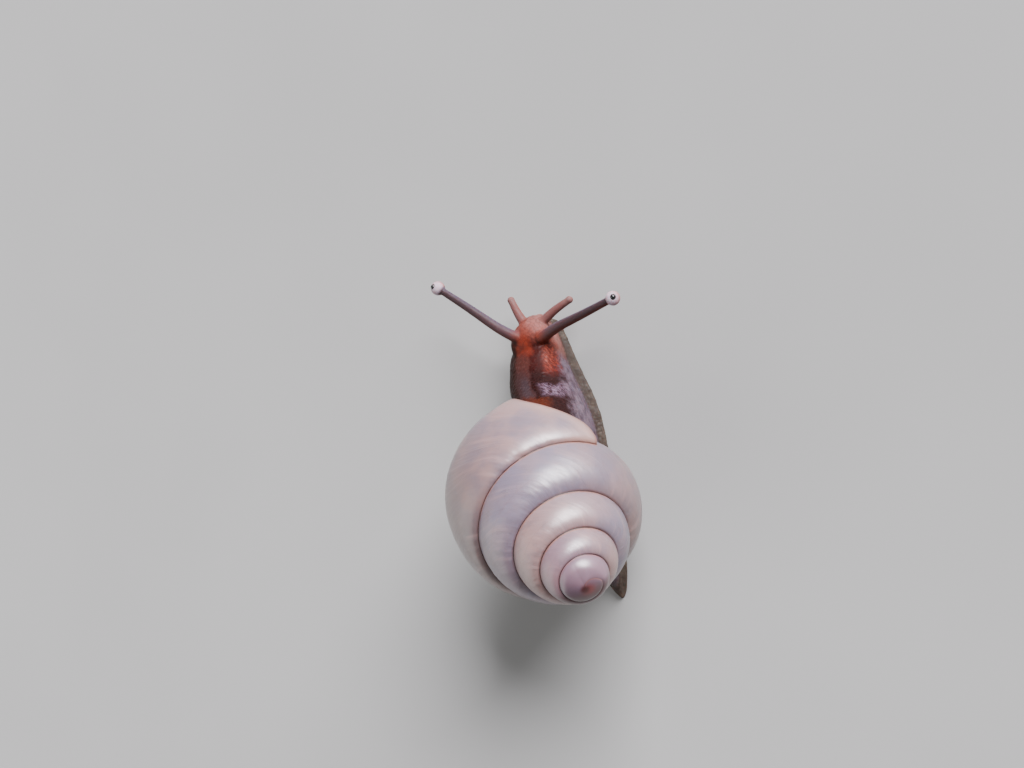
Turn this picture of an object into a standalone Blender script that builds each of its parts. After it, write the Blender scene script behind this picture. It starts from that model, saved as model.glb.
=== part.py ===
"""A land snail with a pale globose shell, crawling with its neck and feelers out.

Lengths are in millimetres here and become metres in the meshes. The animal faces -Y,
its right side is -X, +Z is up, and its sole rests on z = 0 with the foot along Y.
"""

import math

import bmesh
import bpy
from mathutils import Matrix, Vector

MM = 0.001
TURN = 2.0 * math.pi

# Gaps between neighbouring pieces, and the walls of the shell's mouth.
GAP = 0.3
EYE_GAP = 0.2
LIP_WALL = 0.55
SCRAP_WELD = 0.005

# Shell spiral: the suture leaves the apex as a helix that widens by a steady rate.
SUTURE_RADIUS = 8.46
SUTURE_DEPTH = 14.02
SPIRAL_GROWTH = 0.0524
SPIRAL_OFFSET = 0.1166
SPIRAL_REF_TURN = 8.0 * math.pi + 0.2
SUTURE_END = SPIRAL_REF_TURN + 0.3
SPIRAL_PHASE = 1.1468
STEPS_PER_TURN = 40
STEPS_IN_ALL = 166
NUCLEUS_OPENING = 1.3
NUCLEUS_WELD = 0.05
WHORL_ROWS = 7
BASE_ROWS = 9

# Whorl section: bulge between sutures, then the base of the last whorl to the umbilicus.
WHORL_BULGE = 1.0
LAST_WHORL_BULGE = 1.1
LAST_WHORL_SPREAD = 0.42
LAST_WHORL_DROP = 1.06
BASE_DEPTH = 3.6
BASE_MIDDLE = 0.52
BASE_ARC = math.radians(145.0)
UMBILICUS_RIM = 0.85
UMBILICUS_DEPTH = 0.8
LIP_LAG = [(0.0, 0.0), (0.3, 0.06), (0.5, 0.16), (0.6, 0.26), (0.8, 0.48), (1.0, 0.67),
           (1.15, 0.76), (1.35, 0.86), (1.7, 0.98), (2.0, 1.02)]
APERTURE_RECESS = 0.30
APERTURE_TAPER = 0.80
MANTLE_GAP = 0.4
MANTLE_GRAIN = 0.15
MANTLE_FACE_SHARE = 0.12

# Shell placement: apex of the spiral, axis above the floor, axis right of straight back.
APEX = Vector((-7.9, 7.44, 20.8))
AXIS_RISE = math.radians(41.2)
AXIS_TURN = math.radians(40.0)
AXIS_SPIN = math.radians(-38.45)

# Foot and body: sizes at stations along Y. The shoulder is 1 for a rounded back and less
# where the body fills the shell's mouth; the lean shifts the top towards one side.
SOLE_FRONT = -20.9
SOLE_TAIL = 9.0
BODY_STATIONS = [
    # y, x of the middle, sole half width, body half width, top height, lean, shoulder
    (-20.9, -0.1, 0.35, 0.3, 0.75, 0.0, 1.0),
    (-20.6, -0.1, 1.15, 0.9, 1.15, 0.0, 1.0),
    (-20.1, -0.1, 1.7, 1.3, 1.9, 0.0, 1.0),
    (-19.2, 0.25, 2.3, 2.1, 3.5, 0.0, 0.9),
    (-17.8, 0.75, 3.05, 2.85, 4.7, -0.35, 0.85),
    (-16.0, 0.9, 3.45, 3.1, 5.9, -0.5, 0.8),
    (-14.0, 0.85, 3.75, 3.35, 7.4, -0.9, 0.75),
    (-12.0, 0.45, 3.75, 3.3, 9.2, -1.65, 0.65),
    (-9.5, 0.0, 3.5, 3.15, 11.5, -2.3, 0.5),
    (-7.0, 0.0, 3.35, 3.0, 11.5, -2.8, 0.5),
    (-5.0, 0.0, 3.1, 2.7, 9.5, -2.6, 0.6),
    (-3.2, 0.0, 2.9, 2.3, 6.2, -1.2, 0.7),
    (-1.0, 0.0, 2.6, 1.9, 4.2, -0.3, 0.8),
    (2.0, 0.0, 2.25, 1.5, 3.2, 0.0, 1.0),
    (5.0, 0.0, 1.75, 1.1, 1.9, 0.0, 1.0),
    (7.3, 0.0, 1.1, 0.65, 1.1, 0.0, 1.0),
    (8.6, 0.0, 0.5, 0.28, 0.6, 0.0, 1.0),
    (9.0, 0.0, 0.18, 0.1, 0.35, 0.0, 1.0),
]
STATION_COUNT = 44
END_CROWDING = 0.6
SOLE_POINTS = 5
BACK_POINTS = 13
# The foot's margin: share of the way out from the flank, and height, from the edge inward.
MARGIN_STEPS = [(1.0, 0.26), (0.9, 0.48), (0.45, 0.68), (0.0, 1.05)]
MARGIN_FULL_HEIGHT = 2.4
WAIST = 0.9
FLANK_SWELL = 0.22

# Places of the cuts that part the body.
CUT_HEAD = -17.6
CUT_NECK = -11.4
CUT_FOOT_FRONT = -12.6
CUT_FOOT_BACK = -2.6
SOLE_TOP = 1.5

# Head and feelers.
HEAD_MIDDLE = Vector((0.35, -18.6, 3.0))
HEAD_SIZE = Vector((2.35, 2.35, 1.8))
MUZZLE_MIDDLE = Vector((-0.05, -20.05, 2.55))
MUZZLE_SIZE = Vector((1.55, 1.3, 1.2))
LIP_LOBE_PLACES = [Vector((-0.62, -20.85, 2.05)), Vector((0.42, -20.9, 2.05))]
LIP_LOBE_SIZE = Vector((0.6, 0.5, 0.5))
MOUTH_MIDDLE = Vector((-0.1, -21.4, 2.02))
MOUTH_SIZE = Vector((0.75, 0.32, 0.11))
FEELER_SIDES = 10
UPPER_ROOT_RADIUS = 0.62
UPPER_TIP_RADIUS = 0.38
BULB_RADIUS = 0.74
EYE_RADIUS = 0.28
EYE_FORWARD = 0.6
LOWER_ROOT_RADIUS = 0.52
LOWER_TIP_RADIUS = 0.37
LOWER_KNOB_RADIUS = 0.40
UPPER_FEELERS = {
    "right": [(-1.2, -18.55, 4.0), (-3.85, -18.95, 4.95), (-7.3, -19.15, 5.85), (-10.72, -19.45, 6.45)],
    "left": [(0.95, -19.05, 4.1), (2.5, -20.85, 5.3), (4.75, -23.75, 6.2), (6.9, -26.25, 6.65)],
}
LOWER_FEELERS = {
    "right": [(-1.15, -20.3, 2.75), (-3.0, -21.0, 2.75), (-4.7, -21.45, 2.7)],
    "left": [(0.85, -20.75, 2.75), (1.3, -22.15, 2.75), (1.6, -23.4, 2.7)],
}


def clear_scene():
    """Remove every object that the file opened with."""
    for obj in list(bpy.data.objects):
        bpy.data.objects.remove(obj, do_unlink=True)


def new_collection(name):
    """Make a collection in the scene."""
    collection = bpy.data.collections.new(name)
    bpy.context.scene.collection.children.link(collection)
    return collection


def make_material(name, colour, roughness, metallic=0.0):
    """Make a Principled material of one colour."""
    material = bpy.data.materials.new(name)
    material.use_nodes = True
    shader = material.node_tree.nodes["Principled BSDF"]
    shader.inputs["Base Color"].default_value = (*colour, 1.0)
    shader.inputs["Roughness"].default_value = roughness
    shader.inputs["Metallic"].default_value = metallic
    return material


def add_object(name, bm, collection, material=None):
    """Turn a bmesh in millimetres into an object in metres, with its faces outward."""
    bmesh.ops.recalc_face_normals(bm, faces=bm.faces)
    bmesh.ops.scale(bm, vec=Vector((MM, MM, MM)), verts=bm.verts)
    mesh = bpy.data.meshes.new(name)
    bm.to_mesh(mesh)
    bm.free()
    mesh.shade_smooth()
    mesh.set_sharp_from_angle(angle=math.radians(40.0))
    obj = bpy.data.objects.new(name, mesh)
    collection.objects.link(obj)
    if material is not None:
        mesh.materials.append(material)
    return obj


def hide_as_cutter(obj):
    """Show an object as wire and leave it out of renders."""
    obj.hide_render = True
    obj.display_type = "WIRE"
    return obj


def apply_modifiers(obj):
    """Replace an object's mesh by its evaluated one."""
    graph = bpy.context.evaluated_depsgraph_get()
    graph.update()
    mesh = bpy.data.meshes.new_from_object(obj.evaluated_get(graph))
    obj.modifiers.clear()
    obj.data = mesh


def combine(obj, others, operation, solver="EXACT"):
    """Join or cut one object with others, and apply the result."""
    for other in others:
        modifier = obj.modifiers.new(operation.lower(), "BOOLEAN")
        modifier.operation = operation
        modifier.solver = solver
        modifier.object = other
    apply_modifiers(obj)


def weld(bm, distance):
    """Merge vertices that crowd together, and drop the slivers that fold flat with it."""
    bmesh.ops.remove_doubles(bm, verts=bm.verts, dist=distance)
    bmesh.ops.dissolve_degenerate(bm, edges=bm.edges, dist=distance)
    bmesh.ops.triangulate(bm, faces=bm.faces)
    twins = {}
    for face in bm.faces:
        twins.setdefault(frozenset(face.verts), []).append(face)
    folded = [face for faces in twins.values() if len(faces) > 1 for face in faces]
    bmesh.ops.delete(bm, geom=folded, context="FACES")


def keep_largest(obj, distance=SCRAP_WELD):
    """Clean slivers thinner than a distance in millimetres, and keep the largest closed surface."""
    bm = bmesh.new()
    bm.from_mesh(obj.data)
    weld(bm, distance * MM)
    left = set(bm.verts)
    groups = []
    while left:
        stack = [left.pop()]
        group = set(stack)
        while stack:
            for edge in stack.pop().link_edges:
                for vert in edge.verts:
                    if vert in left:
                        left.discard(vert)
                        group.add(vert)
                        stack.append(vert)
        groups.append(group)
    groups.sort(key=len)
    scraps = [vert for group in groups[:-1] for vert in group]
    bmesh.ops.delete(bm, geom=scraps, context="VERTS")
    bm.to_mesh(obj.data)
    bm.free()


def remove_objects(objects):
    """Remove helper objects."""
    for obj in objects:
        bpy.data.objects.remove(obj, do_unlink=True)


def smooth_step(x):
    """Ease from 0 to 1."""
    x = min(max(x, 0.0), 1.0)
    return x * x * (3.0 - 2.0 * x)


def spline_point(points, u):
    """Catmull-Rom point on a list of tuples, u from 0 to 1."""
    count = len(points) - 1
    place = min(max(u, 0.0), 1.0) * count
    index = min(int(place), count - 1)
    f = place - index
    p1 = points[index]
    p2 = points[index + 1]
    p0 = points[index - 1] if index > 0 else [2.0 * a - b for a, b in zip(p1, p2)]
    p3 = points[index + 2] if index + 2 <= count else [2.0 * b - a for a, b in zip(p1, p2)]
    return [
        0.5 * (2 * b + (c - a) * f + (2 * a - 5 * b + 4 * c - d) * f * f + (3 * b - a - 3 * c + d) * f ** 3)
        for a, b, c, d in zip(p0, p1, p2, p3)
    ]


def station_at(y):
    """Read the body's sizes at one y by easing between the named stations."""
    rows = BODY_STATIONS
    low = 0
    while low < len(rows) - 2 and rows[low + 1][0] < y:
        low += 1
    a = rows[low]
    b = rows[low + 1]
    f = (y - a[0]) / (b[0] - a[0])
    before = rows[max(low - 1, 0)]
    after = rows[min(low + 2, len(rows) - 1)]
    values = []
    for k in range(1, len(a)):
        slope_a = (b[k] - before[k]) / (b[0] - before[0])
        slope_b = (after[k] - a[k]) / (after[0] - a[0])
        span = b[0] - a[0]
        h00 = 2 * f ** 3 - 3 * f * f + 1
        h10 = f ** 3 - 2 * f * f + f
        h01 = 3 * f * f - 2 * f ** 3
        h11 = f ** 3 - f * f
        values.append(h00 * a[k] + h10 * span * slope_a + h01 * b[k] + h11 * span * slope_b)
    return values


def bridge_rings(bm, rings, cap_start=True, cap_end=True):
    """Join rings of equal length into a tube and close its ends with fans."""
    for ring_a, ring_b in zip(rings, rings[1:]):
        count = len(ring_a)
        for i in range(count):
            j = (i + 1) % count
            bm.faces.new((ring_a[i], ring_a[j], ring_b[j], ring_b[i]))
    for ring, wanted in ((rings[0], cap_start), (rings[-1], cap_end)):
        if wanted:
            middle = sum((v.co for v in ring), Vector()) / len(ring)
            centre = bm.verts.new(middle)
            for i in range(len(ring)):
                bm.faces.new((ring[i], ring[(i + 1) % len(ring)], centre))


def spiral_size(t):
    """Relative size of the suture at growth angle t."""
    grown = math.exp(SPIRAL_GROWTH * (t - SPIRAL_REF_TURN))
    return (grown - SPIRAL_OFFSET) / (1.0 - SPIRAL_OFFSET)


SPIRAL_START = SUTURE_END - STEPS_IN_ALL * TURN / STEPS_PER_TURN


def suture(t):
    """Radius and depth of the suture, which opens quickly from the nucleus on the axis."""
    size = spiral_size(max(t, 0.0))
    opening = min(max((t - SPIRAL_START) / (NUCLEUS_OPENING - SPIRAL_START), 0.0), 1.0)
    return SUTURE_RADIUS * size * opening ** 0.8, SUTURE_DEPTH * size


def lower_edge(t):
    """Where a whorl's side ends: the next suture, or the side of the last whorl."""
    radius, depth = suture(t + TURN)
    if t + TURN <= SUTURE_END:
        return radius, depth
    end_radius, end_depth = suture(SUTURE_END)
    return (
        end_radius + (radius - end_radius) * LAST_WHORL_SPREAD,
        end_depth + (depth - end_depth) * LAST_WHORL_DROP,
    )


def whorl_bulge(t):
    """How round a whorl's side is; the last whorl swells as it leaves the spire."""
    share = (t + TURN - SUTURE_END) / TURN
    return WHORL_BULGE + (LAST_WHORL_BULGE - WHORL_BULGE) * smooth_step(2.5 * share)


def whorl_profile(t, v):
    """Radius and depth on a whorl: v 0 to 1 down its side, 1 to 2 under its base."""
    top_radius, top_depth = suture(t)
    side_radius, side_depth = lower_edge(t)
    if v <= 1.0:
        angle = v * math.pi / 2.0
        bulge = whorl_bulge(t)
        out = (1.0 - bulge) * v + bulge * math.sin(angle)
        down = (1.0 - bulge) * v + bulge * (1.0 - math.cos(angle))
        return (
            top_radius + (side_radius - top_radius) * out,
            top_depth + (side_depth - top_depth) * down,
        )
    across = v - 1.0
    depth = BASE_DEPTH * side_radius / SUTURE_RADIUS
    angle = min(across / UMBILICUS_RIM, 1.0) * BASE_ARC
    radius = side_radius * (BASE_MIDDLE + (1.0 - BASE_MIDDLE) * math.cos(angle))
    down = side_depth + depth * math.sin(angle)
    inner = max(across - UMBILICUS_RIM, 0.0) / (1.0 - UMBILICUS_RIM)
    return radius * (1.0 - inner), down - UMBILICUS_DEPTH * smooth_step(inner)


def shell_point(t, v, lag=0.0):
    """A point of the shell in its own frame, +Z to the apex along the axis."""
    radius, depth = whorl_profile(t - lag, v)
    angle = SPIRAL_PHASE - (t - lag)
    return Vector((radius * math.cos(angle), radius * math.sin(angle), -depth))


def lip_lag(v):
    """How far the growth lines at the lip lag behind the suture's end, in radians."""
    for (v0, lag0), (v1, lag1) in zip(LIP_LAG, LIP_LAG[1:]):
        if v <= v1:
            return lag0 + (lag1 - lag0) * (v - v0) / (v1 - v0)
    return LIP_LAG[-1][1]


def build_shell_surface(bm):
    """Build the outer surface and return the loop of vertices round its mouth."""
    step = TURN / STEPS_PER_TURN
    turn = STEPS_PER_TURN
    edge = [bm.verts.new(shell_point(SPIRAL_START + i * step, 0.0)) for i in range(STEPS_IN_ALL + 1)]
    nucleus = edge[0]
    # The first turn grows from the nucleus, and each later one from the suture above it.
    columns = []
    for i in range(1 - turn, STEPS_IN_ALL - turn + 1):
        t = SPIRAL_START + i * step
        column = [edge[i] if i > 0 else nucleus]
        for k in range(1, WHORL_ROWS):
            column.append(bm.verts.new(shell_point(t, k / WHORL_ROWS)))
        column.append(edge[i + turn])
        columns.append(column)
    first = columns[0]
    for a, b in zip(first[1:], first[2:]):
        bm.faces.new((nucleus, a, b))
    # The last whorl's growth lines lag more and more towards the lip.
    base_columns = []
    for j in range(turn + 1):
        i = STEPS_IN_ALL - turn + j
        t = SPIRAL_START + i * step
        blend = smooth_step((j / turn - 0.55) / 0.45)
        if j > 0:
            column = [edge[i]]
            for k in range(1, WHORL_ROWS + 1):
                v = k / WHORL_ROWS
                column.append(bm.verts.new(shell_point(t, v, lip_lag(v) * blend)))
            columns.append(column)
        base = [columns[-1][-1]]
        for k in range(1, BASE_ROWS):
            v = 1.0 + k / BASE_ROWS
            lag = lip_lag(1.0) * blend + lip_lag(v) - lip_lag(1.0)
            base.append(bm.verts.new(shell_point(t, v, lag)))
        base_columns.append(base)
    depths = [whorl_profile(t, 2.0)[1] for t in (SUTURE_END, SUTURE_END - TURN)]
    pit = bm.verts.new(Vector((0.0, 0.0, -sum(depths) / 2.0)))
    for a, b in zip(columns, columns[1:]):
        for k in range(len(a) - 1):
            corners = [a[k], b[k], b[k + 1], a[k + 1]]
            if a[k] is b[k]:
                corners = [a[k], b[k + 1], a[k + 1]]
            bm.faces.new(corners)
    for a, b in zip(base_columns, base_columns[1:]):
        for k in range(len(a) - 1):
            bm.faces.new((a[k], b[k], b[k + 1], a[k + 1]))
        bm.faces.new((a[-1], b[-1], pit))
    lip = columns[-1] + base_columns[-1][1:] + [pit]
    parietal = base_columns[0][1:]
    return lip + parietal[::-1]


def mean_point(points):
    """Middle of a list of points."""
    return sum(points, Vector()) / len(points)


def shrink_loop(points, distance, share=0.4):
    """Move each point of a loop towards the middle by a distance."""
    middle = mean_point(points)
    out = []
    for point in points:
        way = middle - point
        out.append(point + way.normalized() * min(distance, share * way.length))
    return out


def recess_loop(points, angle, scale):
    """Turn a loop back into the whorl about the shell's axis and narrow it."""
    middle = mean_point(points)
    turn = Matrix.Rotation(angle, 3, "Z")
    return [turn @ (middle + (point - middle) * scale) for point in points]


def add_ring(bm, points):
    """Add a ring of vertices."""
    return [bm.verts.new(point) for point in points]


def shell_placement():
    """Matrix that stands the shell on the animal's back."""
    axis = Vector((
        -math.cos(AXIS_RISE) * math.sin(AXIS_TURN),
        math.cos(AXIS_RISE) * math.cos(AXIS_TURN),
        math.sin(AXIS_RISE),
    ))
    level = Vector((0.0, 0.0, 1.0)).cross(axis).normalized()
    other = axis.cross(level)
    side = math.cos(AXIS_SPIN) * level + math.sin(AXIS_SPIN) * other
    up = axis.cross(side)
    rotation = Matrix((side, up, axis)).transposed().to_4x4()
    return Matrix.Translation(APEX * MM) @ rotation


def make_shell(collection, material, placement):
    """Make the shell with its hollow mouth, and return it with the outline of its mouth."""
    bm = bmesh.new()
    loop = build_shell_surface(bm)
    mouth = [v.co.copy() for v in loop]
    rim = shrink_loop(mouth, LIP_WALL)
    rings = [loop, add_ring(bm, rim)]
    for share in (0.5, 1.0):
        scale = 1.0 + (APERTURE_TAPER - 1.0) * share
        rings.append(add_ring(bm, recess_loop(rim, APERTURE_RECESS * share, scale)))
    bridge_rings(bm, rings, cap_start=False)
    shell = add_object("shell", bm, collection, material)
    keep_largest(shell, NUCLEUS_WELD)
    shell.matrix_world = placement
    return shell, mouth


def make_clearance(cutters, placement):
    """Make the closed outline of the shell, a gap wider all round, to cut the flesh with."""
    bm = bmesh.new()
    loop = build_shell_surface(bm)
    bridge_rings(bm, [loop], cap_end=False)
    bmesh.ops.recalc_face_normals(bm, faces=bm.faces)
    bm.normal_update()
    middle = list(bm.verts)[-1]
    forward = middle.normal.copy()
    bmesh.ops.delete(bm, geom=[middle], context="VERTS")
    bm.normal_update()
    for vert in bm.verts:
        vert.co += vert.normal * GAP
    for vert in loop:
        vert.co += forward * GAP
    bridge_rings(bm, [loop], cap_end=False)
    outline = add_object("shell_outline", bm, cutters)
    outline.matrix_world = placement
    return hide_as_cutter(outline)


def make_mantle(collection, cutters, material, shell, mouth):
    """Make the mantle that fills the shell's mouth behind the lip, a gap clear of it."""
    bm = bmesh.new()
    rings = []
    rim = shrink_loop(mouth, LIP_WALL)
    for share in (0.04, 0.45, 0.85):
        scale = 1.0 + (APERTURE_TAPER - 1.0) * share
        rings.append(add_ring(bm, recess_loop(rim, APERTURE_RECESS * share, scale)))
    bridge_rings(bm, rings)
    mantle = add_object("mantle_collar", bm, collection)
    mantle.matrix_world = shell.matrix_world
    wall = bpy.data.objects.new("mantle_wall", shell.data.copy())
    cutters.objects.link(wall)
    wall.matrix_world = shell.matrix_world
    shift = wall.modifiers.new("widen", "DISPLACE")
    shift.strength = MANTLE_GAP * MM
    shift.mid_level = 0.0
    apply_modifiers(wall)
    combine(mantle, [wall], "DIFFERENCE", "MANIFOLD")
    soften = mantle.modifiers.new("soften", "REMESH")
    soften.mode = "VOXEL"
    soften.voxel_size = MANTLE_GRAIN * MM
    thin = mantle.modifiers.new("thin", "DECIMATE")
    thin.ratio = MANTLE_FACE_SHARE
    apply_modifiers(mantle)
    keep_largest(mantle)
    mantle.data.materials.clear()
    mantle.data.materials.append(material)
    remove_objects([wall])
    return mantle


def body_section(y):
    """One cross section of foot and body: flat sole, thin margin, waist and rounded back."""
    middle, sole, body, top, lean, shoulder = station_at(y)
    shrink = min(1.0, top / MARGIN_FULL_HEIGHT)
    waist = min(WAIST * body, 0.9 * sole)
    margin = [(waist + (sole - waist) * out, height * shrink) for out, height in MARGIN_STEPS]
    base = margin[-1][1]
    points = []
    for i in range(SOLE_POINTS):
        share = 2.0 * i / (SOLE_POINTS - 1) - 1.0
        points.append((middle + 0.92 * sole * share, 0.0))
    points += [(middle + x, z) for x, z in margin]
    for i in range(1, BACK_POINTS):
        angle = math.pi * i / BACK_POINTS
        across = math.cos(angle)
        swell = WAIST + FLANK_SWELL * abs(math.sin(2.0 * angle))
        x = math.copysign(abs(across) ** shoulder, across) * swell * waist / WAIST
        rise = math.sin(angle)
        points.append((middle + x + lean * rise, base + (top - base) * rise))
    points += [(middle - x, z) for x, z in reversed(margin)]
    return [Vector((x, y, z)) for x, z in points]


def make_body(collection):
    """Loft foot, neck and the front of the body as one closed form."""
    bm = bmesh.new()
    rings = []
    for i in range(STATION_COUNT + 1):
        share = i / STATION_COUNT
        share -= END_CROWDING * math.sin(TURN * share) / TURN
        y = SOLE_FRONT + (SOLE_TAIL - SOLE_FRONT) * share
        rings.append(add_ring(bm, body_section(y)))
    bridge_rings(bm, rings)
    return add_object("body", bm, collection)


def add_ellipsoid(name, collection, middle, size, material=None, segments=20, rings=12):
    """Add a sphere stretched to three half sizes."""
    bm = bmesh.new()
    bmesh.ops.create_uvsphere(bm, u_segments=segments, v_segments=rings, radius=1.0)
    bmesh.ops.scale(bm, vec=size, verts=bm.verts)
    bmesh.ops.translate(bm, vec=middle, verts=bm.verts)
    return add_object(name, bm, collection, material)


def add_box(name, collection, low, high):
    """Add a box between two corners."""
    bm = bmesh.new()
    bmesh.ops.create_cube(bm, size=1.0)
    low = Vector(low)
    high = Vector(high)
    bmesh.ops.scale(bm, vec=high - low, verts=bm.verts)
    bmesh.ops.translate(bm, vec=(high + low) / 2.0, verts=bm.verts)
    return hide_as_cutter(add_object(name, bm, collection))


def take_part(name, source, low, high, collection, cutters, material):
    """Keep the part of the body that lies in a box, as its own node."""
    box = add_box(name + "_box", cutters, low, high)
    part = bpy.data.objects.new(name, source.data.copy())
    collection.objects.link(part)
    combine(part, [box], "INTERSECT")
    part.data.materials.clear()
    part.data.materials.append(material)
    remove_objects([box])
    return part


def tube_radius(u, root, tip):
    """Radius along a feeler, with a slight flare where it leaves the head."""
    return tip + (root - tip) * (1.0 - u) ** 1.3 + 0.12 * root * math.exp(-u * 14.0)


def add_feeler(name, collection, path, span, root, tip, material, bulb=None):
    """Loft a stretch of a feeler; the last one may carry a bulb at its end."""
    bm = bmesh.new()
    first, last = span
    count = max(3, round(14 * (last - first)))
    places = [first + (last - first) * i / count for i in range(count + 1)]
    stations = [(Vector(spline_point(path, u)), tube_radius(u, root, tip)) for u in places]
    if bulb is not None:
        end = stations[-1][0]
        way = (end - stations[-2][0]).normalized()
        neck = math.asin(min(tip / bulb, 1.0))
        middle = end + way * bulb * math.cos(neck)
        for i in range(1, 8):
            angle = neck + (math.pi - neck) * i / 8.0
            stations.append((middle - way * bulb * math.cos(angle), bulb * math.sin(angle)))
    rings = []
    for i, (point, radius) in enumerate(stations):
        ahead = stations[min(i + 1, len(stations) - 1)][0] - stations[max(i - 1, 0)][0]
        turn = ahead.to_track_quat("Z", "Y").to_matrix()
        ring = []
        for k in range(FEELER_SIDES):
            angle = TURN * k / FEELER_SIDES
            ring.append(point + turn @ Vector((radius * math.cos(angle), radius * math.sin(angle), 0.0)))
        rings.append(add_ring(bm, ring))
    bridge_rings(bm, rings)
    return add_object(name, bm, collection, material)


def cut_socket(body, cutters, path, root, tip):
    """Cut the seat that a feeler's root stands in, a gap wider than the root."""
    start = Vector(path[0])
    back = start - (Vector(path[1]) - start).normalized() * GAP
    seat_path = [tuple(back)] + list(path[1:])
    seat = add_feeler("seat", cutters, seat_path, (0.0, 0.5), root + GAP, tip + GAP, None)
    combine(body, [seat], "DIFFERENCE", "MANIFOLD")
    remove_objects([seat])


def bulb_middle(path):
    """Middle of the bulb at the end of a feeler's path, and the way it points."""
    end = Vector(path[-1])
    way = (end - Vector(spline_point(path, 0.93))).normalized()
    neck = math.asin(UPPER_TIP_RADIUS / BULB_RADIUS)
    return end + way * BULB_RADIUS * math.cos(neck), way


def path_length(path):
    """Length of a feeler's path."""
    points = [Vector(spline_point(path, i / 40.0)) for i in range(41)]
    return sum((b - a).length for a, b in zip(points, points[1:]))


def main():
    """Build every node."""
    clear_scene()
    parts = new_collection("land_snail")
    cutters = new_collection("cutters")
    shell_paint = make_material("shell_horn", (0.78, 0.69, 0.70), 0.32)
    mantle_paint = make_material("mantle", (0.55, 0.30, 0.16), 0.45)
    skin = {
        "foot": make_material("foot_skin", (0.72, 0.66, 0.58), 0.5),
        "neck": make_material("neck_skin", (0.50, 0.25, 0.20), 0.45),
        "head": make_material("head_skin", (0.72, 0.38, 0.32), 0.45),
        "feeler": make_material("feeler_skin", (0.55, 0.42, 0.42), 0.4),
    }
    eye_paint = make_material("eye", (0.02, 0.02, 0.025), 0.15)

    placement = shell_placement()
    shell, mouth = make_shell(parts, shell_paint, placement)
    clearance = make_clearance(cutters, placement)
    make_mantle(parts, cutters, mantle_paint, shell, mouth)

    body = make_body(cutters)
    head_forms = [
        add_ellipsoid("head_form", cutters, HEAD_MIDDLE, HEAD_SIZE),
        add_ellipsoid("muzzle_form", cutters, MUZZLE_MIDDLE, MUZZLE_SIZE),
    ]
    for place in LIP_LOBE_PLACES:
        head_forms.append(add_ellipsoid("lip_form", cutters, place, LIP_LOBE_SIZE, segments=14, rings=8))
    combine(body, head_forms, "UNION", "MANIFOLD")
    mouth = add_ellipsoid("mouth_line", cutters, MOUTH_MIDDLE, MOUTH_SIZE, segments=14, rings=6)
    combine(body, [mouth], "DIFFERENCE", "MANIFOLD")
    combine(body, [clearance], "DIFFERENCE", "MANIFOLD")
    for path in UPPER_FEELERS.values():
        cut_socket(body, cutters, path, UPPER_ROOT_RADIUS, UPPER_TIP_RADIUS)
    for path in LOWER_FEELERS.values():
        cut_socket(body, cutters, path, LOWER_ROOT_RADIUS, LOWER_TIP_RADIUS)

    half = GAP / 2.0
    far = 40.0
    nodes = [
        ("head", (-far, -far, SOLE_TOP + half), (far, CUT_HEAD - half, far), "head"),
        ("neck", (-far, CUT_HEAD + half, SOLE_TOP + half), (far, CUT_NECK - half, far), "neck"),
        ("body_stalk", (-far, CUT_NECK + half, SOLE_TOP + half), (far, CUT_FOOT_BACK - half, far), "neck"),
        ("foot_front", (-far, -far, -far), (far, CUT_FOOT_FRONT - half, SOLE_TOP - half), "foot"),
        ("foot_middle", (-far, CUT_FOOT_FRONT + half, -far), (far, CUT_FOOT_BACK - half, SOLE_TOP - half), "foot"),
        ("foot_tail", (-far, CUT_FOOT_BACK + half, -far), (far, far, far), "foot"),
    ]
    for name, low, high, paint in nodes:
        part = take_part(name, body, low, high, parts, cutters, skin[paint])
        keep_largest(part)
    remove_objects([body, mouth] + head_forms)

    for side, path in UPPER_FEELERS.items():
        length = path_length(path)
        share = GAP / length
        add_feeler("upper_tentacle_%s_root" % side, parts, path, (0.0, 0.34), UPPER_ROOT_RADIUS,
                   UPPER_TIP_RADIUS, skin["feeler"])
        add_feeler("upper_tentacle_%s_middle" % side, parts, path, (0.34 + share, 0.68),
                   UPPER_ROOT_RADIUS, UPPER_TIP_RADIUS, skin["feeler"])
        tip = add_feeler("upper_tentacle_%s_tip" % side, parts, path, (0.68 + share, 1.0),
                         UPPER_ROOT_RADIUS, UPPER_TIP_RADIUS, skin["feeler"], bulb=BULB_RADIUS)
        middle, way = bulb_middle(path)
        look = (way * EYE_FORWARD + Vector((0.0, 0.0, 1.0))).normalized()
        eye_middle = middle + look * (BULB_RADIUS - 0.55 * EYE_RADIUS)
        reach = EYE_RADIUS + EYE_GAP
        socket = add_ellipsoid("socket", cutters, eye_middle, Vector((reach, reach, reach)),
                               segments=14, rings=10)
        combine(tip, [socket], "DIFFERENCE")
        keep_largest(tip)
        remove_objects([socket])
        add_ellipsoid("eye_%s" % side, parts, eye_middle, Vector((EYE_RADIUS,) * 3), eye_paint, 12, 8)
    for side, path in LOWER_FEELERS.items():
        add_feeler("lower_tentacle_%s" % side, parts, path, (0.0, 1.0), LOWER_ROOT_RADIUS,
                   LOWER_TIP_RADIUS, skin["feeler"], bulb=LOWER_KNOB_RADIUS)


main()
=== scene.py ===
"""Looks for a crawling land snail: fine shell, one moist skin, translucent feelers and eyes.

Lengths are in millimetres here and become metres in the meshes, in the frame of the CAD
part: the animal faces -Y, its right side is -X and its sole rests on z = 0.
"""

import math

import bmesh
import bpy
import numpy as np
from mathutils import Matrix, Vector, noise
from mathutils.bvhtree import BVHTree

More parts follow.
